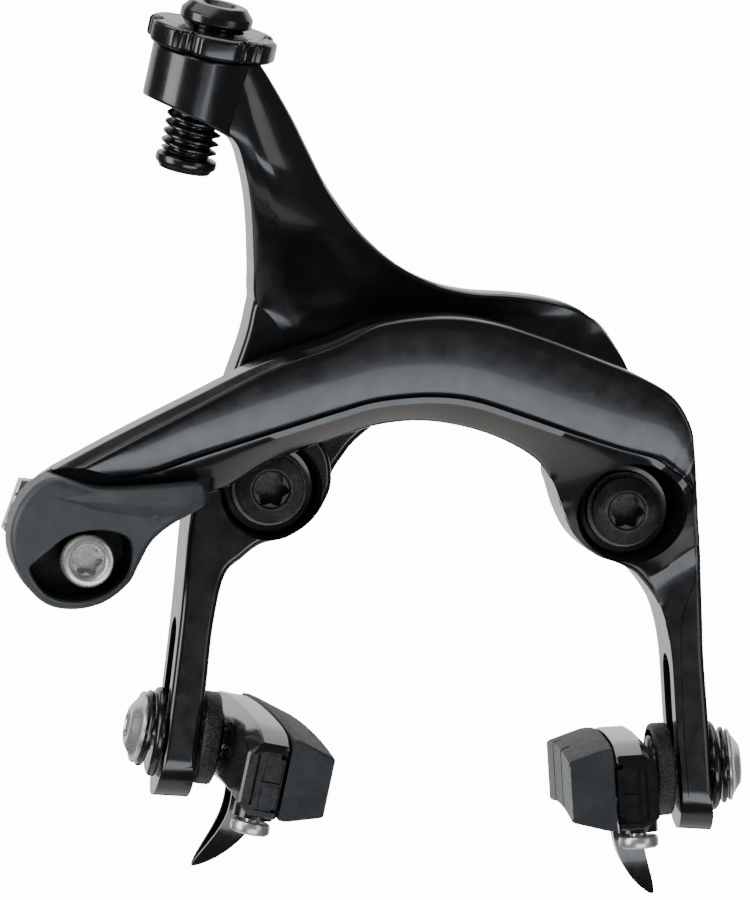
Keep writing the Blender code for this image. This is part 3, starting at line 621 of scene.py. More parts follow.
CROWN = 1.0     # how far the face falls back from its outer edge to the crease
STRIP = 0.95    # width of the narrow flat under the crease
FRONT_ARM = [
    # outer edge, crease, inner edge, front, bevel's end, back, chamfer, groove
    ((-62.9, 1.7), (-61.2, 0.6), (-60.0, -0.2), -25.4, -21.5, -17.3, 0.9, 0.2),
    ((-53.2, 7.8), (-50.5, 1.9), (-48.5, 0.6), -26.4, -21.5, -17.3, 1.0, 0.7),
    ((-42.2, 14.3), (-40.7, 5.8), (-38.1, -0.6), -26.9, -21.0, -17.3, 1.0, 1.0),
    ((-31.7, 20.3), (-30.6, 9.8), (-28.7, 4.8), -27.0, -20.5, -17.3, 0.9, 1.0),
    ((-22.0, 24.1), (-19.7, 14.0), (-18.3, 9.2), -27.0, -20.0, -17.3, 0.5, 1.0),
    ((-14.6, 27.6), (-13.8, 16.0), (-12.5, 11.4), -27.0, -20.0, -17.3, 0.1, 1.0),
    ((-5.2, 29.2), (-6.0, 17.2), (-6.2, 12.4), -27.0, -20.0, -17.3, 0.0, 1.0),
    ((2.6, 28.9), (1.0, 17.0), (0.2, 12.0), -27.0, -20.0, -17.3, 0.0, 1.0),
    ((10.9, 27.0), (8.5, 15.2), (6.6, 10.4), -27.0, -19.5, -17.3, 0.0, 1.0),
    ((19.3, 24.4), (17.0, 12.8), (12.4, 7.6), -27.0, -18.8, -17.3, 0.0, 1.0),
    ((27.0, 21.8), (24.5, 10.8), (15.4, 4.4), -27.0, -18.2, -17.2, 0.0, 0.9),
    ((32.1, 19.1), (30.4, 9.6), (17.4, 0.6), -27.0, -17.4, -16.6, 0.0, 0.8),
    ((35.2, 14.8), (33.3, 8.0), (19.3, -2.8), -27.0, -16.6, -9.0, 0.0, 0.7),
    ((36.2, 10.4), (35.0, 6.9), (22.0, -5.6), -26.8, -16.3, -3.1, 0.0, 0.6),
    ((37.1, 5.6), (36.5, 5.0), (25.6, -7.1), -25.6, -16.2, -3.1, 0.0, 0.4),
    ((37.9, 2.4), (37.5, 2.2), (28.0, -8.0), -23.6, -16.1, -3.1, 0.0, 0.3),
    ((38.8, -0.7), (38.3, -0.8), (30.2, -8.8), -20.4, -16.0, -3.1, 0.0, 0.2),
    ((40.0, -4.6), (39.4, -4.6), (32.0, -10.6), -16.5, -15.9, -3.1, 0.0, 0.1),
    ((40.6, -9.0), (39.8, -9.0), (33.4, -12.6), -16.0, -15.7, -3.1, 0.0, 0.0),
    ((41.4, -16.2), (38.0, -16.2), (35.4, -16.8), -16.0, -15.6, -3.1, 0.0, 0.0),
    ((42.1, -22.5), (38.4, -22.5), (36.9, -22.5), -16.0, -15.6, -3.1, 0.0, 0.0),
    ((43.6, -32.3), (39.4, -32.3), (38.3, -32.3), -16.0, -15.6, -3.1, 0.0, 0.0),
    ((45.1, -43.0), (41.0, -43.0), (40.0, -43.0), -16.0, -15.6, -3.1, 0.0, 0.0),
    ((46.0, -50.2), (41.9, -50.2), (41.1, -50.2), -16.0, -15.6, -3.1, 0.0, 0.0),
]


def bar_section(row):
    """One ring of the front arm."""
    outer, crease, inner, (front, bevel_end, back, chamfer, groove) = row
    across = (outer - crease).normalized()
    down = (inner - crease).normalized()
    step = min(1.0, (inner - crease).length / 4)
    crown = CROWN * min(1.0, (outer - crease).length / 8, groove * 2.5)
    lip = outer - across * chamfer
    strip = STRIP * (1 + 2 * max(0, 0.8 - groove) / 0.8)
    shoulder = crease + down * (0.55 + strip) * step
    low = front + crown + groove * 0.55
    ring = [(outer, back), (outer, front + 1.2 + chamfer * 2.2)]
    ring.append((outer - across * 0.12, front + 0.8 + chamfer * 1.8))
    for reach, rise in ((0.14, 0.5), (0.36, 0.2), (0.9, 0.0)):
        ring.append((lip - across * reach, front + rise))
    begin = lip - across * 0.9
    for part in (0.12, 0.26, 0.4, 0.54, 0.68, 0.8, 0.9, 0.97):
        ring.append((begin.lerp(crease, part), front + crown * part**2))
    ring.append((crease, front + crown + 0.1))
    for reach, drop in ((0.12, 0.35), (0.32, 0.45), (0.5, 0.05), (0.6, -0.1)):
        ring.append((crease + down * reach * step, low + drop * groove))
    ring.append((shoulder, low + 0.08 * groove))
    low += 0.25 * groove
    for part in (0.2, 0.4, 0.6, 0.8, 0.93):
        ring.append((shoulder.lerp(inner, part), low + (bevel_end - low) * part**1.2))
    ring += [(inner, max(low, bevel_end) + 0.6 * (back > bevel_end + 1)), (inner, back)]
    return [Vector((point.x, depth, point.y)) for point, depth in ring]


def smooth_rows(rows, steps):
    """Rows of edge points and depths, carried smoothly from one station to the next."""
    edges = [curve_through([row[k] for row in rows], steps) for k in range(3)]
    depths = []
    for low, high in zip(rows, rows[1:]):
        for step in range(steps):
            ease = step / steps
            depths.append([a + (b - a) * ease for a, b in zip(low[3:], high[3:])])
    depths.append(rows[-1][3:])
    return list(zip(*edges, depths))


FRONT_FOOT = [
    (19.0, 10.0), (25.0, 14.6), (29.6, 14.8), (30.4, 18.2), (32.1, 18.4), (34.4, 16.0),
    (36.0, 12.6), (37.2, 7.1), (38.3, 1.1), (39.3, -7.1), (40.4, -13.6), (41.7, -22.5),
    (43.3, -32.3), (44.8, -44.0), (45.6, -50.0), (45.6, -50.0), (40.9, -50.3), (40.9, -50.3),
    (39.9, -44.0), (38.2, -31.4), (36.9, -22.5), (34.9, -15.4), (30.9, -10.2), (27.6, -8.4),
    (23.7, -7.2), (20.4, -4.6), (18.2, -1.1), (16.8, 2.4), (16.0, 5.6),
]
FRONT_LUG = [
    (-63.0, 1.6), (-67.4, -3.0), (-69.0, -8.0), (-68.2, -12.8), (-64.8, -16.6), (-60.0, -18.4),
    (-54.8, -17.2), (-51.0, -13.2), (-48.6, -7.4), (-44.6, -2.6), (-38.1, 0.4), (-34.0, 3.5),
    (-34.0, 8.0), (-40.0, 9.0), (-48.0, 6.0), (-57.0, 3.4),
]


def cup_cutter(x):
    """The cup for a mount bolt's head: a wide mouth, a soft step and a rounded floor."""
    profile = [(0, 40), (8.35, 40), (8.2, 17.5), (7.9, 15.4), (7.3, 14.4), (7.2, 13.0), (6.8, 12.45),
               (6.2, 12.3), (0, 12.3)]
    return turn_about("cup", profile, forward_place(x, 0), None)


def cut_boss(arm, x):
    """The cup, the bush bore and the spring pocket of a pivot."""
    carve(arm, cup_cutter(x))
    carve(arm, bore("bush_bore", (x, 0), -20, 1, 5.55))
    carve(arm, bore("spring_pocket", (x, 0), BUSH_BACK, 1, 7.0))


def cut_foot(arm, at, tilt):
    """The pad bolt's slot, and the half-round end that the arm has when seen from the side."""
    slot = prism("slot", stadium(-1.6, 15.0, 3.2), -9, 9)
    slot.data.transform(Matrix.Rotation(math.pi / 2, 4, "Z"))
    slot.data.transform(Matrix.Rotation(tilt, 4, "Y"))
    slot.data.transform(Matrix.Translation(spot(at[0], PAD_Y, at[1])))
    radius = 6.5
    bottom = at[1] - 9.7
    line = [(-PAD_Y + 14, bottom - 6), (-PAD_Y - 14, bottom - 6), (-PAD_Y - 14, bottom + radius)]
    for k in range(33):
        angle = math.pi * k / 32
        line.append((-PAD_Y - radius * math.cos(angle), bottom + radius - radius * math.sin(angle)))
    line.append((-PAD_Y + 14, bottom + radius))
    rings = [[Vector((x, -y, z)) for y, z in line] for x in (at[0] - 12, at[0] + 12)]
    carve(arm, slot, loft("round_end", rings, None))


def make_front_arm():
    material = MATERIALS["anodised_black"]
    arm = loft("forged_front_arm", [bar_section(row) for row in smooth_rows(FRONT_ARM, 8)], material)
    lug = rounded_prism("lug", closed_line(FRONT_LUG, 6), LUG_FRONT, FRONT_ARM_BACK, 0.5, material)
    foot = rounded_prism("foot", closed_line(FRONT_FOOT, 6), PAD_ARM_FRONT + 0.3, ARM_BACK, 0.9, material)
    carve(arm, lug, foot, operation="UNION")
    room = [(-75, -22), (-75, CAM[1])]
    for turn in range(180, 60, -8):
        angle = math.radians(turn)
        room.append((CAM[0] + 11.1 * math.cos(angle), CAM[1] + 11.1 * math.sin(angle)))
    room += [(-53.4, 0.9), (-38, 1.9), (-38, -22)]
    carve(arm, prism("lever_room", room, -40, LUG_FRONT + 0.02))
    cut_boss(arm, PIVOT_X)
    cut_foot(arm, RIGHT_SLOT, -RIGHT_SEAT_TILT)
    carve(arm, bore("cam_hole", CAM, -30, 0, 6.35))
    x, z = ROLLER
    room = [(x - 11.2, z - 4.6), (x + 4.2, z - 4.6), (x + 4.2, z + 4.0), (x - 11.2, z + 4.0)]
    carve(arm, prism("roller_slot", room, -22.6, 0))
    stand_for(smooth(arm), "front_arm")


# Rear arm

NECK = [
    # left edge, ridge, right edge, fall of the left and right facets
    ((-47.5, 67.5), (-40.5, 67.0), (-36.6, 66.8), 0.3, 1.6),
    ((-47.0, 62.0), (-39.6, 64.0), (-34.3, 63.9), 0.3, 2.6),
    ((-43.5, 57.2), (-37.9, 57.8), (-30.6, 58.6), 0.4, 3.4),
    ((-39.4, 54.2), (-36.0, 53.4), (-27.8, 54.0), 0.6, 3.9),
    ((-37.6, 50.3), (-34.2, 49.4), (-24.9, 49.3), 0.8, 4.2),
    ((-35.9, 45.2), (-32.2, 44.5), (-21.4, 45.0), 1.0, 4.2),
    ((-34.5, 39.8), (-30.2, 39.4), (-16.7, 40.3), 1.2, 3.6),
    ((-33.3, 34.2), (-28.2, 33.4), (-11.0, 36.2), 1.0, 3.0),
    ((-32.0, 28.0), (-25.5, 26.5), (-4.5, 33.4), 0.8, 2.4),
    ((-27.0, 21.0), (-16.0, 21.5), (1.5, 32.4), 0.6, 2.2),
    ((-16.0, 17.0), (-6.0, 19.8), (8.0, 32.4), 0.4, 2.4),
    ((-2.0, 16.4), (4.0, 20.0), (13.5, 32.0), 0.4, 2.6),
    ((8.0, 16.6), (11.0, 20.6), (18.3, 30.9), 0.4, 2.8),
    ((17.0, 16.5), (18.4, 20.6), (22.5, 28.4), 0.4, 2.6),
    ((23.0, 16.6), (24.0, 20.0), (25.8, 24.2), 0.4, 1.8),
    ((26.6, 18.0), (26.9, 19.6), (27.3, 21.4), 0.4, 0.8),
]
NECK_THICK = 10.5
REAR_WEB = [
    (-31.6, 33.0), (-32.6, 28.0), (-33.4, 23.0), (-36.0, 13.0), (-37.0, 4.0), (-33.0, -4.0),
    (-26.0, -5.0), (-20.0, 0.0), (-17.2, 4.9), (-14.3, 8.8), (-8.0, 13.6), (2.0, 16.6),
    (-2.0, 21.0), (-12.0, 27.0), (-20.0, 33.0), (-26.0, 37.0),
]
REAR_FOOT = [
    (-35.6, 13.0), (-38.6, 4.0), (-40.2, -5.0), (-40.5, -14.5), (-40.7, -22.0), (-41.3, -34.5),
    (-42.1, -46.0), (-42.5, -49.4), (-42.5, -49.4), (-37.0, -49.6), (-37.0, -49.6),
    (-36.6, -45.8), (-35.8, -32.5), (-35.4, -22.0), (-34.2, -14.0), (-31.6, -10.9),
    (-28.8, -8.6), (-25.0, -7.4), (-21.6, -4.9), (-19.6, -1.8), (-18.6, 2.0), (-20.0, 7.0),
    (-25.0, 11.0), (-31.0, 13.5),
]


def lean(height):
    """How far forward the neck stands at a height."""
    part = min(max((height - 26) / 27, 0), 1)
    return -16.5 * part * part * (3 - 2 * part)


def neck_section(row):
    """One ring of the rear arm's neck and branch: two facets that meet at a ridge."""
    left, ridge, right, (left_fall, right_fall) = row

    def at(point, fall, base=REAR_ARM_FRONT):
        return Vector((point.x, base + lean(point.y) + fall, point.y))

    back = REAR_ARM_FRONT + NECK_THICK
    ring = [at(left, 0, back), at(left, left_fall + 0.9), at(left.lerp(ridge, 0.03), left_fall + 0.35)]
    ring.append(at(left.lerp(ridge, 0.09), left_fall + 0.02))
    ring += [at(left.lerp(ridge, part), left_fall * (1 - part)) for part in (0.3, 0.55, 0.78, 0.92)]
    ring.append(at(ridge, 0.06))
    for part in (0.06, 0.16, 0.32, 0.48, 0.64, 0.78, 0.88, 0.94):
        ring.append(at(ridge.lerp(right, part), right_fall * part**1.6))
    ring.append(at(ridge.lerp(right, 0.975), right_fall + 0.25))
    return ring + [at(right, right_fall + 1.0), at(right, 0, back)]


def adjuster_place():
    """The adjuster's frame: Z up the cable, X towards the viewer's right."""
    joint = JOINTS["adjuster_turn"]
    up = Vector(joint["axis"]).normalized()
    across = (Vector((1, 0, 0)) - up * up.x).normalized()
    turn = Matrix((across, up.cross(across), up)).transposed().to_4x4()
    return Matrix.Translation(joint["pos_m"]) @ turn


def make_post():
    """The D-shaped block that holds the adjuster, with its underside sloping to the neck."""
    line = []
    for k in range(33):
        angle = math.pi / 2 + math.pi * k / 32
        line.append((8.7 * math.cos(angle), 8.6 * math.sin(angle)))
    line += [(1.8, -8.0), (3.6, -6.9), (5.4, -5.2), (6.9, -3.0), (7.8, -0.2), (7.8, 4.0),
             (6.4, 6.4), (3.4, 8.1)]
    rings = [[Vector((x, y, height)) for x, y in line] for height in (-5.6, -24.0)]
    post = loft("post", rings, MATERIALS["anodised_black"])
    post.data.transform(adjuster_place())
    below = [(-62.0, 63.6), (-44.0, 56.6), (-39.5, 54.4), (-34.0, 52.0), (-34.0, 30.0), (-62.0, 30.0)]
    carve(post, prism("below", below, -60, 10))
    bevel = post.modifiers.new("round", "BEVEL")
    bevel.width = 1.3 * MM
    bevel.segments = 4
    bevel.limit_method = "ANGLE"
    bevel.angle_limit = math.radians(40)
    apply_modifiers(post)
    return post


def make_rear_arm():
    material = MATERIALS["anodised_black"]
    arm = loft("forged_rear_arm", [neck_section(row) for row in smooth_rows(NECK, 8)], material)
    line = closed_line(REAR_WEB, 6)
    web = rounded_prism("web", line, REAR_ARM_FRONT + 0.6, ARM_BACK - 0.4, 1.2, material)
    foot = rounded_prism("foot", closed_line(REAR_FOOT, 6), PAD_ARM_FRONT, ARM_BACK, 1.1, material)
    carve(arm, web, foot, make_post(), operation="UNION")
    place = adjuster_place()
    trim = turn_about("trim", [(0, 8), (16, 8), (16, -5.6), (0, -5.6)], place, None)
    hole = turn_about("bore", [(0, 8), (4.7, 8), (4.7, -30), (0, -30)], place, None)
    carve(arm, trim, hole)
    cut_boss(arm, -PIVOT_X)
    cut_foot(arm, LEFT_SLOT, LEFT_SEAT_TILT)
    carve(arm, bore("pin_hole", ROLLER, -16, 0, 1.85, 48))
    screw = joint_place("centring_screw_turn")
    profile = [(0, 6), (3.4, 6), (3.2, 1.2), (2.35, -0.4), (2.35, -15), (0, -15)]
    carve(arm, turn_about("centring_hole", profile, screw, None))
    stand_for(smooth(arm), "rear_arm")


# Mounting hardware

SEAT = 13.75
CROWN_OF_BOLT = 16.45


def make_mount(side, x):
    place = forward_place(x, 0)
    top = CROWN_OF_BOLT
    profile = [(3.35, SEAT - 0.35), (5.7, SEAT - 0.35), (5.85, SEAT - 0.45), (5.9, SEAT - 0.6),
               (5.9, SEAT - 1.0), (5.8, SEAT - 1.15), (3.35, SEAT - 1.15)]
    stand_turned(side + "_turned_mount_washer", side + "_mount_washer", profile, place, "black_oxide")
    profile = [(0, top - 0.5), (2.75, top - 0.5), (2.95, top - 0.15), (3.1, top), (3.3, top),
               (3.5, top - 0.12), (5.05, top - 0.95), (5.25, top - 1.1), (5.35, top - 1.4),
               (5.3, SEAT + 0.1), (5.1, SEAT), (3.0, SEAT), (3.0, -8.4), (2.4, -9.0), (0, -9.0)]
    stand_turned(side + "_turned_mount_bolt", side + "_mount_bolt", profile, place, "black_oxide", 28,
                 (2.45, top - 4.6, top + 1))


# Quick release

LEVER = [
    (-62.9, 1.1), (-60.6, 0.6), (-55.7, -0.4), (-48.0, 0.4), (-42.4, 1.2), (-40.4, 1.2), (-39.8, 0.0),
    (-39.9, -1.8), (-41.9, -3.3), (-45.0, -5.4), (-47.6, -8.0), (-49.3, -11.6), (-50.7, -14.6),
    (-54.4, -17.8), (-59.1, -19.1), (-63.6, -18.3), (-67.4, -14.5), (-69.4, -9.1), (-68.9, -4.7),
    (-67.0, -1.2), (-64.8, 0.7),
]
LEVER_RIDGE = [
    # upper edge, crest and lower edge of the raised finger rest, and its front
    ((-63.6, -1.6), (-63.2, -2.0), (-62.9, -2.4), -29.7),
    ((-59.8, -1.0), (-59.4, -2.2), (-59.4, -3.4), -30.3),
    ((-55.7, -0.8), (-55.4, -2.2), (-55.9, -4.2), -30.7),
    ((-48.8, 0.1), (-48.3, -1.8), (-49.8, -4.9), -30.9),
    ((-43.0, 0.9), (-42.6, -1.0), (-44.6, -4.4), -30.9),
    ((-40.6, 1.0), (-40.3, -0.6), (-41.2, -2.9), -30.6),
]
RECESS = [
    (-66.0, -13.4), (-65.0, -11.8), (-63.3, -10.2), (-60.8, -8.0), (-57.6, -6.9), (-54.3, -6.7),
    (-51.4, -7.6), (-50.6, -10.0), (-51.4, -13.6), (-54.6, -16.6), (-59.1, -17.8), (-63.4, -16.8),
]


def inside(line, x, z):
    """Whether a point lies inside a closed line."""
    odd = False
    for i, point in enumerate(line):
        last = line[i - 1]
        if (point.y > z) != (last.y > z):
            odd ^= x < last.x + (z - last.y) / (point.y - last.y) * (point.x - last.x)
    return odd


def make_lever():
    material = MATERIALS["satin_grey"]
    lever = rounded_prism("cast_lever", closed_line(LEVER, 6), -29.6, LUG_FRONT - 0.35, 1.3, material, 6)
    sections = []
    tops, crests, feet = (curve_through([row[k] for row in LEVER_RIDGE], 8) for k in range(3))
    fronts = curve_through([(row[3], 0) for row in LEVER_RIDGE], 8)
    for top, crest, foot, front in zip(tops, crests, feet, fronts):
        line = [(top, -27.0), (top, front.x + 1.2), (top.lerp(crest, 0.5), front.x + 0.5), (crest, front.x)]
        line += [(crest.lerp(foot, part), front.x + 1.9 * part**1.4) for part in (0.2, 0.4, 0.6, 0.8, 1.0)]
        line.append((foot, -27.0))
        sections.append([Vector((point.x, depth, point.y)) for point, depth in line])
    ridge = loft("ridge", sections, material)
    hub = bore("hub", CAM, LUG_FRONT - 1, FRONT_ARM_BACK + 0.05, 6.0)
    carve(lever, ridge, hub, operation="UNION")
    line = anticlockwise(closed_line(RECESS, 6))
    rings = []
    for depth, shrink in ((-33.0, -0.7), (-29.6, -0.25), (-28.9, 0.0), (-24.0, 0.3), (-22.6, 0.6)):
        rings.append([Vector((point.x, depth, point.y)) for point in inset(line, shrink)])
    carve(lever, loft("recess", rings, None))
    carve(lever, bore("seat", ANCHOR, -21.5, -25.9, 3.7), operation="UNION")
    carve(lever, bore("bore", ANCHOR, -40, -10, 2.85))
    # Painted shade: the faces inside the recess, its walls, its floor and the bolt's seat, take the
    # near-black colour
    black = add_material(lever, RECESS_PAINTED_SHADE)
    edge = inset(line, -0.1)
    for face in lever.data.polygons:
        at = face.center / MM
        if -29.2 < at.y < -22.0 and inside(edge, at.x, at.z):
            face.material_index = black
    stand_for(smooth(lever), "quick_release_lever")


def make_anchor():
    profile = [(0, 29.2), (2.5, 29.2), (2.6, 30.2), (2.75, 30.55), (3.0, 30.7), (3.45, 30.7), (3.8, 30.55),
               (4.0, 30.25), (4.05, 29.9), (4.05, 26.3), (3.85, 26.0), (2.5, 26.0), (2.5, 11.6),
               (2.0, 11.0), (0, 11.0)]
    stand_turned("turned_anchor_bolt", "anchor_bolt", profile, forward_place(*ANCHOR), "stainless", 28,
                 (2.1, 27.0, 32))
    outline = [(-67.2, -0.6), (-67.2, -0.6), (-69.4, -8.4), (-69.4, -8.4), (-62.0, -15.6), (-54.0, -16.0),
               (-52.4, -9.0), (-56.0, -3.6), (-60.4, -0.8), (-60.4, -0.8)]
    line = closed_line(outline, 5)
    clamp = rounded_prism("stamped_clamp_plate", line, -16.8, -13.6, 0.45, MATERIALS["stainless"])
    carve(clamp, bore("hole", ANCHOR, -20, -5, 2.85))
    for k in range(4):
        z = -3.0 - 1.6 * k
        carve(clamp, cylinder("tooth", (-70, -16.9, z), (-62, -16.9, z), 0.35, 12))
    stand_for(smooth(clamp), "cable_clamp_plate")


# Barrel adjuster


def dial_outline():
    """Six lobes with flat pads between them, each hollow fluted by two narrow ribs."""
    line = []
    for angle in circle(6 * 48):
        dip = max(0.0, math.cos(6 * angle)) ** 1.6
        flutes = 0.28 * dip * math.cos(48 * angle)
        line.append((10.1 - 1.35 * dip + flutes) * Vector((math.cos(angle), math.sin(angle))))
    return line


def make_dial(place):
    line = dial_outline()
    rings = []
    steps = ((0.9, -1.85), (0.45, -1.95), (0.12, -2.25), (0, -2.6), (0, -4.6), (0.12, -4.95), (0.5, -5.25))
    for shrink, height in steps:
        rings.append([Vector((point.x, point.y, height)) for point in inset(line, shrink)])
    dial = loft("lobed_dial", rings, MATERIALS["anodised_black"])
    dial.data.transform(place)
    carve(dial, turn_about("hole", [(0, 8), (4.65, 8), (4.65, -12), (0, -12)], place, None))
    stand_for(smooth(dial, 30), "adjuster_dial")


def make_barrel(place):
    """The threaded barrel: a true helix between a plain neck and the wider ring at its foot."""
    pitch, root, crest = 1.4, 3.35, 4.4
    start, end = -12.4, -21.9
    levels = 84
    profile = [(2.1, 0.2), (3.3, 0.2), (3.45, 0.05), (3.45, start + 0.3)]
    for level in range(levels + 1):
        height = start + (end - start) * level / levels
        fade = min(1.0, level / 8, (levels - level) / 4)
        radii = []
        for angle in circle():
            wave = abs(((height / pitch + angle / (2 * math.pi)) % 1.0) * 2 - 1)
            radii.append(root + (crest - root) * fade * min(1.0, max(0.0, wave * 1.5 - 0.2)))
        profile.append((radii, height))
    profile += [(4.1, -22.1), (4.65, -22.3), (4.75, -22.6), (4.75, -23.3), (4.6, -23.6), (4.2, -23.8),
                (4.15, -24.1), (3.9, -24.4), (2.3, -24.5), (2.1, -24.3)]
    stand_turned("threaded_barrel", "adjuster_barrel", profile, place, "anodised_black", 34)


def make_adjuster():
    place = adjuster_place()
    make_dial(place)
    make_barrel(place)
    profile = [(2.5, 1.55), (2.8, 1.85), (3.1, 1.9), (4.2, 1.9), (4.45, 1.8), (5.5, 0.6), (5.62, 0.35),
               (5.62, -0.7), (5.45, -0.95), (5.05, -1.1), (5.0, -1.2), (3.8, -1.2), (3.8, 0.55),
               (2.0, 0.55), (2.0, 1.1)]
    stand_turned("turned_cable_ferrule", "cable_ferrule", profile, place, "anodised_black", 28)


# Pads


def pad_place(at, inward, tilt, toe=0.0, pitch=0.0):
    """A place whose Z points at the rim, with Y up and X along the rim."""
    basis = Matrix(((0, 0, inward), (inward, 0, 0), (0, 1, 0)))
    turn = Matrix.Rotation(inward * toe, 3, "Z") @ Matrix.Rotation(inward * tilt, 3, "Y")
    turn = turn @ Matrix.Rotation(pitch, 3, "X")
    return Matrix.Translation(spot(at[0], PAD_Y, at[1])) @ (turn @ basis).to_4x4()


def make_pad_hardware(side, seat, axis):
    rows = [
        ("turned_cup", "outer_cup_washer", seat, "anodised_black",
         [(3.1, -3.1), (6.9, -3.1), (7.0, -3.25), (7.0, -3.75), (6.85, -4.0), (6.4, -4.3), (5.7, -4.3),
          (3.1, -4.25)]),
        ("turned_cone", "outer_cone_washer", axis, "anodised_black",
         [(3.1, -4.9), (5.5, -4.9), (5.85, -5.0), (6.0, -5.25), (6.0, -5.55), (5.85, -5.7), (3.1, -5.7)]),
        ("moulded_spacer", "pad_spacer", seat, "textured_black",
         [(6.3, 5.9), (6.75, 5.9), (7.1, 5.75), (7.3, 5.4), (7.3, 3.6), (7.15, 3.25), (6.9, 3.1),
          (3.1, 3.1), (3.1, 4.2), (6.3, 4.2)]),
        ("turned_inner_cone", "inner_cone_washer", axis, "anodised_black",
         [(3.1, 6.3), (4.9, 6.3), (5.2, 6.2), (5.4, 5.9), (5.4, 5.0), (5.3, 4.9), (3.1, 4.9)]),
    ]
    for name, node, place, finish, profile in rows:
        stand_turned(f"{side}_{name}", f"{side}_{node}", profile, place, finish)
    profile = [(0, 8.2), (2.2, 8.2), (2.5, 7.9), (2.5, -6.0), (5.35, -6.0), (5.6, -6.15), (5.65, -6.4),
               (5.5, -6.65), (5.1, -6.75), (4.4, -7.15), (3.6, -7.75), (3.15, -8.05), (2.7, -8.2),
               (2.3, -8.2), (2.1, -7.95), (0, -7.9)]
    stand_turned(side + "_turned_pad_bolt", side + "_pad_bolt", profile, axis, "stainless", 28,
                 (1.95, -10, -7.0, 0.08))


def pad_loft(name, stations, material, place):
    """Sections in the pad's Z and Y, from one end to the middle, mirrored and falling away with the rim."""
    rings = []
    for x, section in stations + [(-x, section) for x, section in stations[-2::-1]]:
        drop = x**2 / (2 * RIM_RADIUS)
        rings.append([Vector((x, y - drop, z)) for z, y in section])
    thing = loft(name, rings, material)
    thing.data.transform(place)
    return thing


def holder_section(s, roof):
    """The holder's outline, shrunk by s; the roof falls towards the ends."""
    top = HOLDER_HALF - s - roof
    return [
        (6.7 + s, -4.6 + s), (6.7 + s, 3.6 - roof * 0.4), (6.9 + s, 4.4 - roof * 0.7),
        (8.3 + s, 6.0 - s - roof), (8.9 + s, top), (12.4 - s, top), (12.95 - s, top - 0.12),
        (13.1 - s, top - 0.4), (13.1 - s, -5.9 + s), (12.9 - s, -6.3 + s), (12.5 - s, -6.4 + s),
        (9.0 + s, -6.4 + s), (8.4 + s, -6.15 + s), (6.9 + s, -4.9 + s),
    ]


def box_cutter(name, low, high, place, drop=0.0):
    """A box between two corners of a place, moved down by a drop."""
    corners = [(low[0], low[1]), (high[0], low[1]), (high[0], high[1]), (low[0], high[1])]
    rings = [[Vector((x, y - drop, z)) for x, y in corners] for z in (low[2], high[2])]
    thing = loft(name, rings, None)
    thing.data.transform(place)
    return thing


def pad_box(name, near, begin, end, low, high, place):
    """A box at a pad's near end: begin and end count inward from the end face, low and high are Y and Z."""
    x = sorted((near * (PAD_HALF - begin), near * (PAD_HALF - end)))
    drop = PAD_HALF**2 / (2 * RIM_RADIUS)
    return box_cutter(name, (x[0], low[0], low[1]), (x[1], high[0], high[1]), place, drop)


def screw_place(near, axis, height):
    """A place at the insert screw's axis."""
    return axis @ Matrix.Translation(spot(near * SCREW_X, height, SCREW_Z))


def make_holder(side, near, axis):
    stations = [(-PAD_HALF, holder_section(0.35, 1.5)), (-24.6, holder_section(0, 1.2))]
    stations += [(-20, holder_section(0, 0.2))] + [(x, holder_section(0, 0)) for x in range(-16, 1, 4)]
    holder = pad_loft(side + "_cast_pad_holder", stations, MATERIALS["gloss_black"], axis)
    boss = bore("boss", (0, 0), 0, -1.9, 3.1)
    boss.data.transform(screw_place(near, axis, -6.0))
    carve(holder, boss, make_fin(near, axis, FIN_SWING[side]), operation="UNION")
    end_boxes = (
        ("window", -1.0, 0.55, (-5.3, 9.4), (3.9, 12.6)),
        ("panel", 0.3, 1.2, (-4.9, 9.9), (3.5, 12.6)),
        ("seam", -1.0, 0.95, (-0.85, 9.4), (-0.6, 12.6)),
        ("upper_notch", -1.0, 1.8, (3.1, 12.0), (3.9, 14.0)),
        ("lower_notch", -1.0, 1.8, (-5.3, 12.0), (-4.4, 14.0)),
        ("slit", -1.0, 1.0, (-4.6, 8.3), (3.4, 8.75)),
    )
    for name, begin, end, low, high in end_boxes:
        box = pad_box(name, near, begin, end, low, high, axis)
        carve(holder, box, operation="UNION" if name == "panel" else "DIFFERENCE")
    low, high = sorted((near * 23.6, -near * 27))
    carve(holder, box_cutter("pocket", (low, -3.8, 9.6), (high, 3.8, 16.0), axis))
    bolt_bore = cylinder("bolt_bore", (0, 0, 4.6), (0, 0, 8.6), 2.85)
    bolt_bore.data.transform(axis)
    screw_bore = bore("screw_bore", (0, 0), 0, 6.2, 1.65)
    screw_bore.data.transform(screw_place(near, axis, -10.7))
    carve(holder, bolt_bore, screw_bore)
    stand_for(smooth(holder, 30), side + "_pad_holder")


FIN_SWING = {"left": 0.0, "right": 2.3}     # how far the tip bends towards the rim
FIN = [
    # height from the holder's underside, back and front reach towards the rim, half width
    (0.8, 8.2, 12.9, 3.4), (-1.4, 8.3, 13.1, 3.4), (-3.6, 8.1, 12.6, 3.3), (-6.0, 7.4, 11.6, 2.9),
    (-8.4, 6.4, 10.0, 2.2), (-10.4, 5.5, 8.2, 1.4), (-11.8, 5.0, 6.4, 0.7), (-12.4, 4.9, 5.4, 0.35),
]


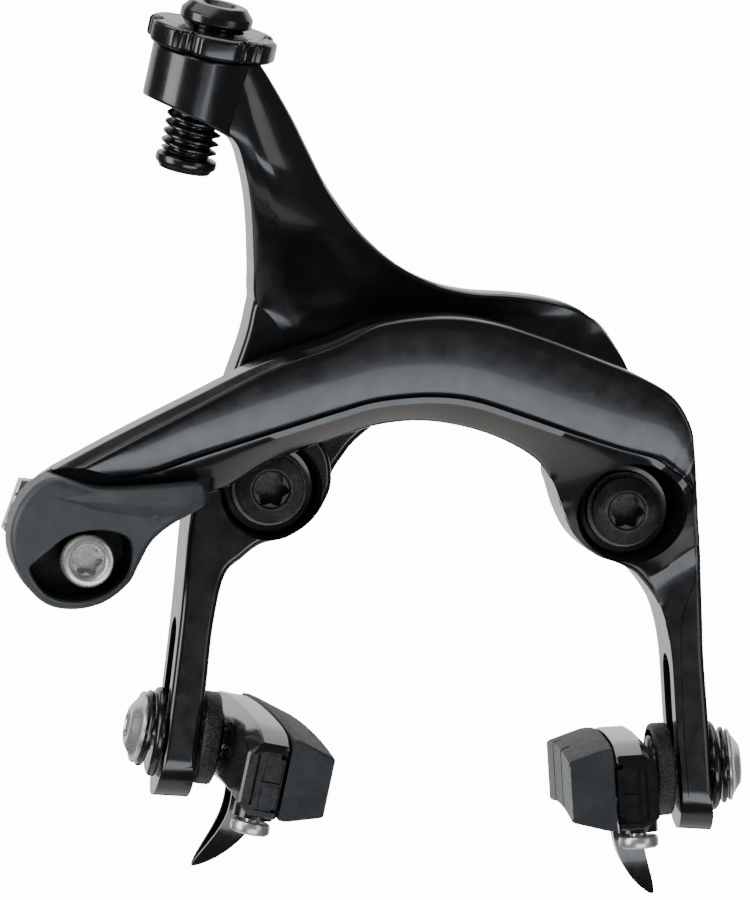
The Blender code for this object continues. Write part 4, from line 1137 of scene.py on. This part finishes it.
def make_fin(near, axis, swing):
    """The horn that guides the wheel in: a channel that curves outward to a point."""
    rings = []
    rows = curve_through([row[:3] for row in FIN], 5)
    widths = curve_through([(row[3], 0) for row in FIN], 5)
    for (height, back, front), width in zip(rows, widths):
        half = width.x
        wall = min(0.7, half * 0.4)
        thick = min(1.0, (front - back) * 0.3)
        line = [(-half, back), (-half, front), (half, front), (half, back), (half - wall, back)]
        line += [(half - wall, front - thick), (-half + wall, front - thick), (-half + wall, back)]
        out = swing * (max(-height, 0) / FIN_DEPTH) ** 1.5
        rings.append([Vector((near * FIN_X + x, height - HOLDER_HALF, z + out)) for x, z in line])
    fin = loft("fin", rings, MATERIALS["gloss_black"])
    fin.data.transform(axis)
    return fin


def insert_section(s):
    """The insert's outline, shrunk by s."""
    return [
        (13.4, -6.2 + s), (13.4, 6.2 - s), (13.6, 6.4 - s), (14.5, 6.4 - s), (15.2, 6.25 - s),
        (19.9 - s, 4.85 - s), (20.3 - s, 4.6 - s), (20.4 - s, 4.3 - s), (20.4 - s, -4.3 + s),
        (20.3 - s, -4.6 + s), (19.9 - s, -4.85 + s), (15.2, -6.25 + s), (14.5, -6.4 + s), (13.6, -6.4 + s),
    ]


def make_insert(side, near, axis):
    stations = [(-PAD_HALF, insert_section(0.3)), (-24.7, insert_section(0.08))]
    stations += [(x, insert_section(0)) for x in (-24.2, *range(-20, 1, 4))]
    insert = pad_loft(side + "_moulded_pad_insert", stations, MATERIALS["pad_rubber"], axis)
    low, high = sorted((near * 23.2, -near * 24.8))
    tongue = box_cutter("tongue", (low, -2.2, 9.95), (high, 3.4, 13.8), axis)
    carve(insert, tongue, operation="UNION")
    for x in (-8.5, 8.5):
        carve(insert, box_cutter("groove", (x - 0.7, -9, 18.9), (x + 0.7, 9, 22.0), axis))
    worn = add_material(insert, BRAKING_FACE)
    facing = (axis.to_3x3() @ Vector((0, 0, 1))).normalized()
    for face in insert.data.polygons:
        height = (axis.inverted() @ face.center).z
        if height > 0.0202 and face.normal.dot(facing) > 0.8:
            face.material_index = worn
    stand_for(smooth(insert, 30), side + "_pad_insert")


def make_insert_screw(side, near, axis):
    place = screw_place(near, axis, -8.4) @ Matrix.Rotation(math.pi / 2, 4, "X")
    profile = [(0, 2.0), (1.9, 2.1), (2.6, 2.0), (3.0, 1.7), (3.1, 1.3), (3.1, 0.6), (2.95, 0.2),
               (2.6, 0.0), (1.3, 0.0), (1.3, -4.4), (0, -4.4)]
    stand_turned(side + "_turned_insert_screw", side + "_insert_screw", profile, place, "stainless", 28,
                 (1.15, 1.0, 3.0, 0.1))


def make_pad(side, inward, slot, seat_tilt, toe, pitch):
    seat = pad_place(slot, inward, seat_tilt)
    axis = pad_place(slot, inward, PAD_TILT, toe, pitch)
    near = -inward
    make_pad_hardware(side, seat, axis)
    make_holder(side, near, axis)
    make_insert(side, near, axis)
    make_insert_screw(side, near, axis)


def repaint_kept_nodes():
    """The CAD nodes whose shape is right already take the detailed materials."""
    for node, thing in frame["nodes"].items():
        thing.data.materials.clear()
        thing.data.materials.append(MATERIALS[SLOT_OF[node]])


make_camera()
make_lights()
make_room()
make_floor()
repaint_kept_nodes()
make_front_arm()
make_rear_arm()
for mount_side, mount_x in (("left", -PIVOT_X), ("right", PIVOT_X)):
    make_mount(mount_side, mount_x)
make_lever()
make_anchor()
make_adjuster()
make_pad("left", 1, LEFT_SLOT, LEFT_SEAT_TILT, LEFT_TOE, LEFT_PITCH)
make_pad("right", -1, RIGHT_SLOT, RIGHT_SEAT_TILT, RIGHT_TOE, RIGHT_PITCH)
